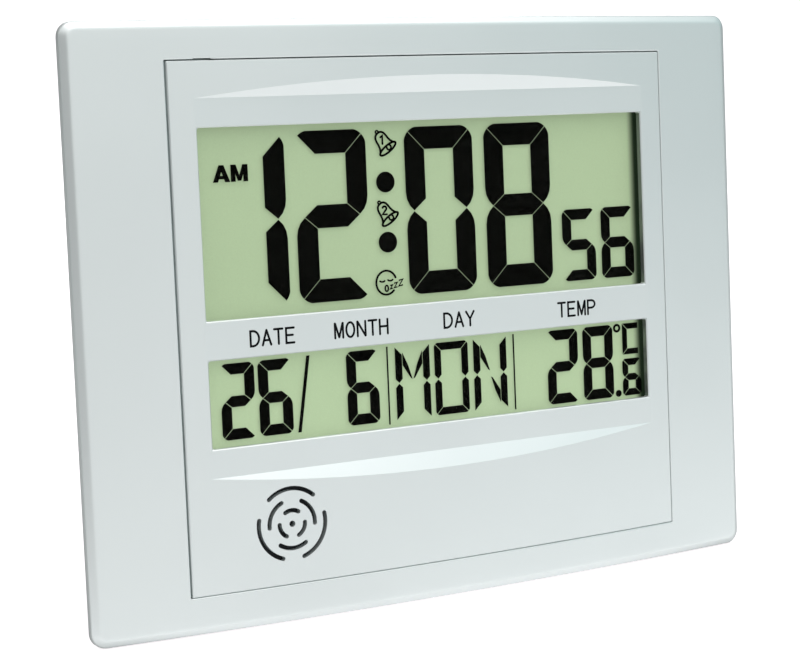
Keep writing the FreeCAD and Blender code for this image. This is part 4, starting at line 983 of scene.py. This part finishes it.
buttons = [name for name in nodes if name.startswith("button_")]
switches = [name for name in nodes if name.startswith("tact_switch_")]
finishes = [
    # A satin housing with the fine grain of an etched mould.
    ("moulded_grey_abs", "#8d9294", "#999ea0", 0.7, 0.42, 0.58, 0.02, 0.0,
     ["rear_cover", "battery_door", "stand_leg"]),
    # Rubber is dull: almost no highlight.
    ("matt_black_rubber", "#141414", "#1d1d1d", 0.4, 0.75, 0.9, 0.02, 0.0,
     ["leg_foot_pad", "elastomer_strip_bottom", "elastomer_strip_top"]),
    # Dark inner mouldings, a little glossier than the housing.
    ("moulded_black_abs", "#1b1c1e", "#232427", 0.6, 0.4, 0.55, 0.02, 0.0,
     ["lcd_retainer", "buzzer_case", *switches]),
    # Slate buttons with a smoother, satin face.
    ("moulded_slate_buttons", "#4a4e53", "#53575c", 0.5, 0.35, 0.5, 0.01, 0.0, buttons),
    # Solder mask is a glossy green lacquer with slow streaks.
    ("green_solder_mask", "#0f4a26", "#14572e", 3.0, 0.25, 0.35, 0.01, 0.0, ["circuit_board"]),
    # Epoxy over the chip and the small parts, black and fairly glossy.
    ("black_epoxy", "#0c0c0c", "#141414", 1.0, 0.2, 0.4, 0.02, 0.0,
     ["clock_chip", "capacitors", "thermistor"]),
    # Zinc plate is bright with a bluish cast.
    ("zinc_plated_steel", "#b9bcc4", "#d0d2d6", 0.5, 0.25, 0.4, 0.01, 1.0,
     ["case_screws", "board_screws"]),
    # Drawn steel is the brightest and smoothest metal here.
    ("drawn_bright_steel", "#c6c8ca", "#d8dadb", 0.6, 0.15, 0.3, 0.005, 1.0,
     ["leg_pin", "crystal"]),
    # Nickel plate has a warm, yellowish white.
    ("nickel_plated_strip", "#cfcdc2", "#dedcd2", 0.6, 0.2, 0.35, 0.005, 1.0,
     ["contact_positive", "contact_negative", "contact_link"]),
    # Rolled brass is yellow and satin.
    ("rolled_brass", "#c79a4e", "#d8b066", 0.8, 0.25, 0.4, 0.005, 1.0, ["buzzer_disc"]),
    # Fired ceramic is a dry cream white.
    ("fired_piezo_ceramic", "#dedacd", "#e8e5da", 0.5, 0.4, 0.6, 0.005, 0.0, ["buzzer_ceramic"]),
    # PVC insulation is smooth and a little waxy.
    ("red_pvc_insulation", "#a3120d", "#b21a14", 1.0, 0.35, 0.5, 0.005, 0.0,
     ["buzzer_wire_red", "battery_wire_red"]),
    ("black_pvc_insulation", "#111111", "#191919", 1.0, 0.35, 0.5, 0.005, 0.0,
     ["buzzer_wire_black", "battery_wire_black"]),
    # The cells wear a glossy shrunk film.
    ("printed_cell_sleeve", "#23282d", "#2b3137", 2.0, 0.2, 0.3, 0.005, 0.0,
     ["battery_upper", "battery_lower"]),
]
for *recipe, pieces in finishes:
    dress(plain_finish(*recipe), *pieces)
print("materials:", len(bpy.data.materials))

# %% [markdown]
# The dust cloth is a woven black polyester. Its threads are 0.5 mm apart, drawn as two sets
# of soft waves that cross.

# %% Dust cloth weave
thread_mm, thread_relief = 0.5, 0.05
woven, tree = new_material("woven_black_polyester")
place = pattern_place(tree, thread_mm)
warp = put(tree, "ShaderNodeTexWave", {"Vector": place, "Scale": 0.5}, bands_direction="X")
weft = put(tree, "ShaderNodeTexWave", {"Vector": place, "Scale": 0.5}, bands_direction="Z")
weave = put(tree, "ShaderNodeMath", {0: warp.outputs["Fac"], 1: weft.outputs["Fac"]},
            operation="MULTIPLY")
tone = put(tree, "ShaderNodeMix", {0: weave.outputs[0], MIX_A: linear("#1a1b1d"),
                                   MIX_B: linear("#4c4e52")}, data_type="RGBA")
raised = put(tree, "ShaderNodeBump", {"Strength": 0.6, "Distance": thread_relief * MM,
                                      "Height": weave.outputs[0]})
cloth = put(tree, "ShaderNodeBsdfPrincipled",
            {"Base Color": tone.outputs[MIX_RESULT], "Roughness": 0.9,
             "Specular IOR Level": 0.1, "Normal": raised.outputs[0]})
finish_surface(tree, cloth.outputs[0])
dress(woven, dust_cloth)
undressed = [name for name, piece in nodes.items() if not piece.data.materials]
print("pieces without a finish:", undressed)

# %% [markdown]
# Last, colours are shown as they are written, through the standard view transform.

# %% View transform
bpy.context.scene.view_settings.view_transform = "Standard"
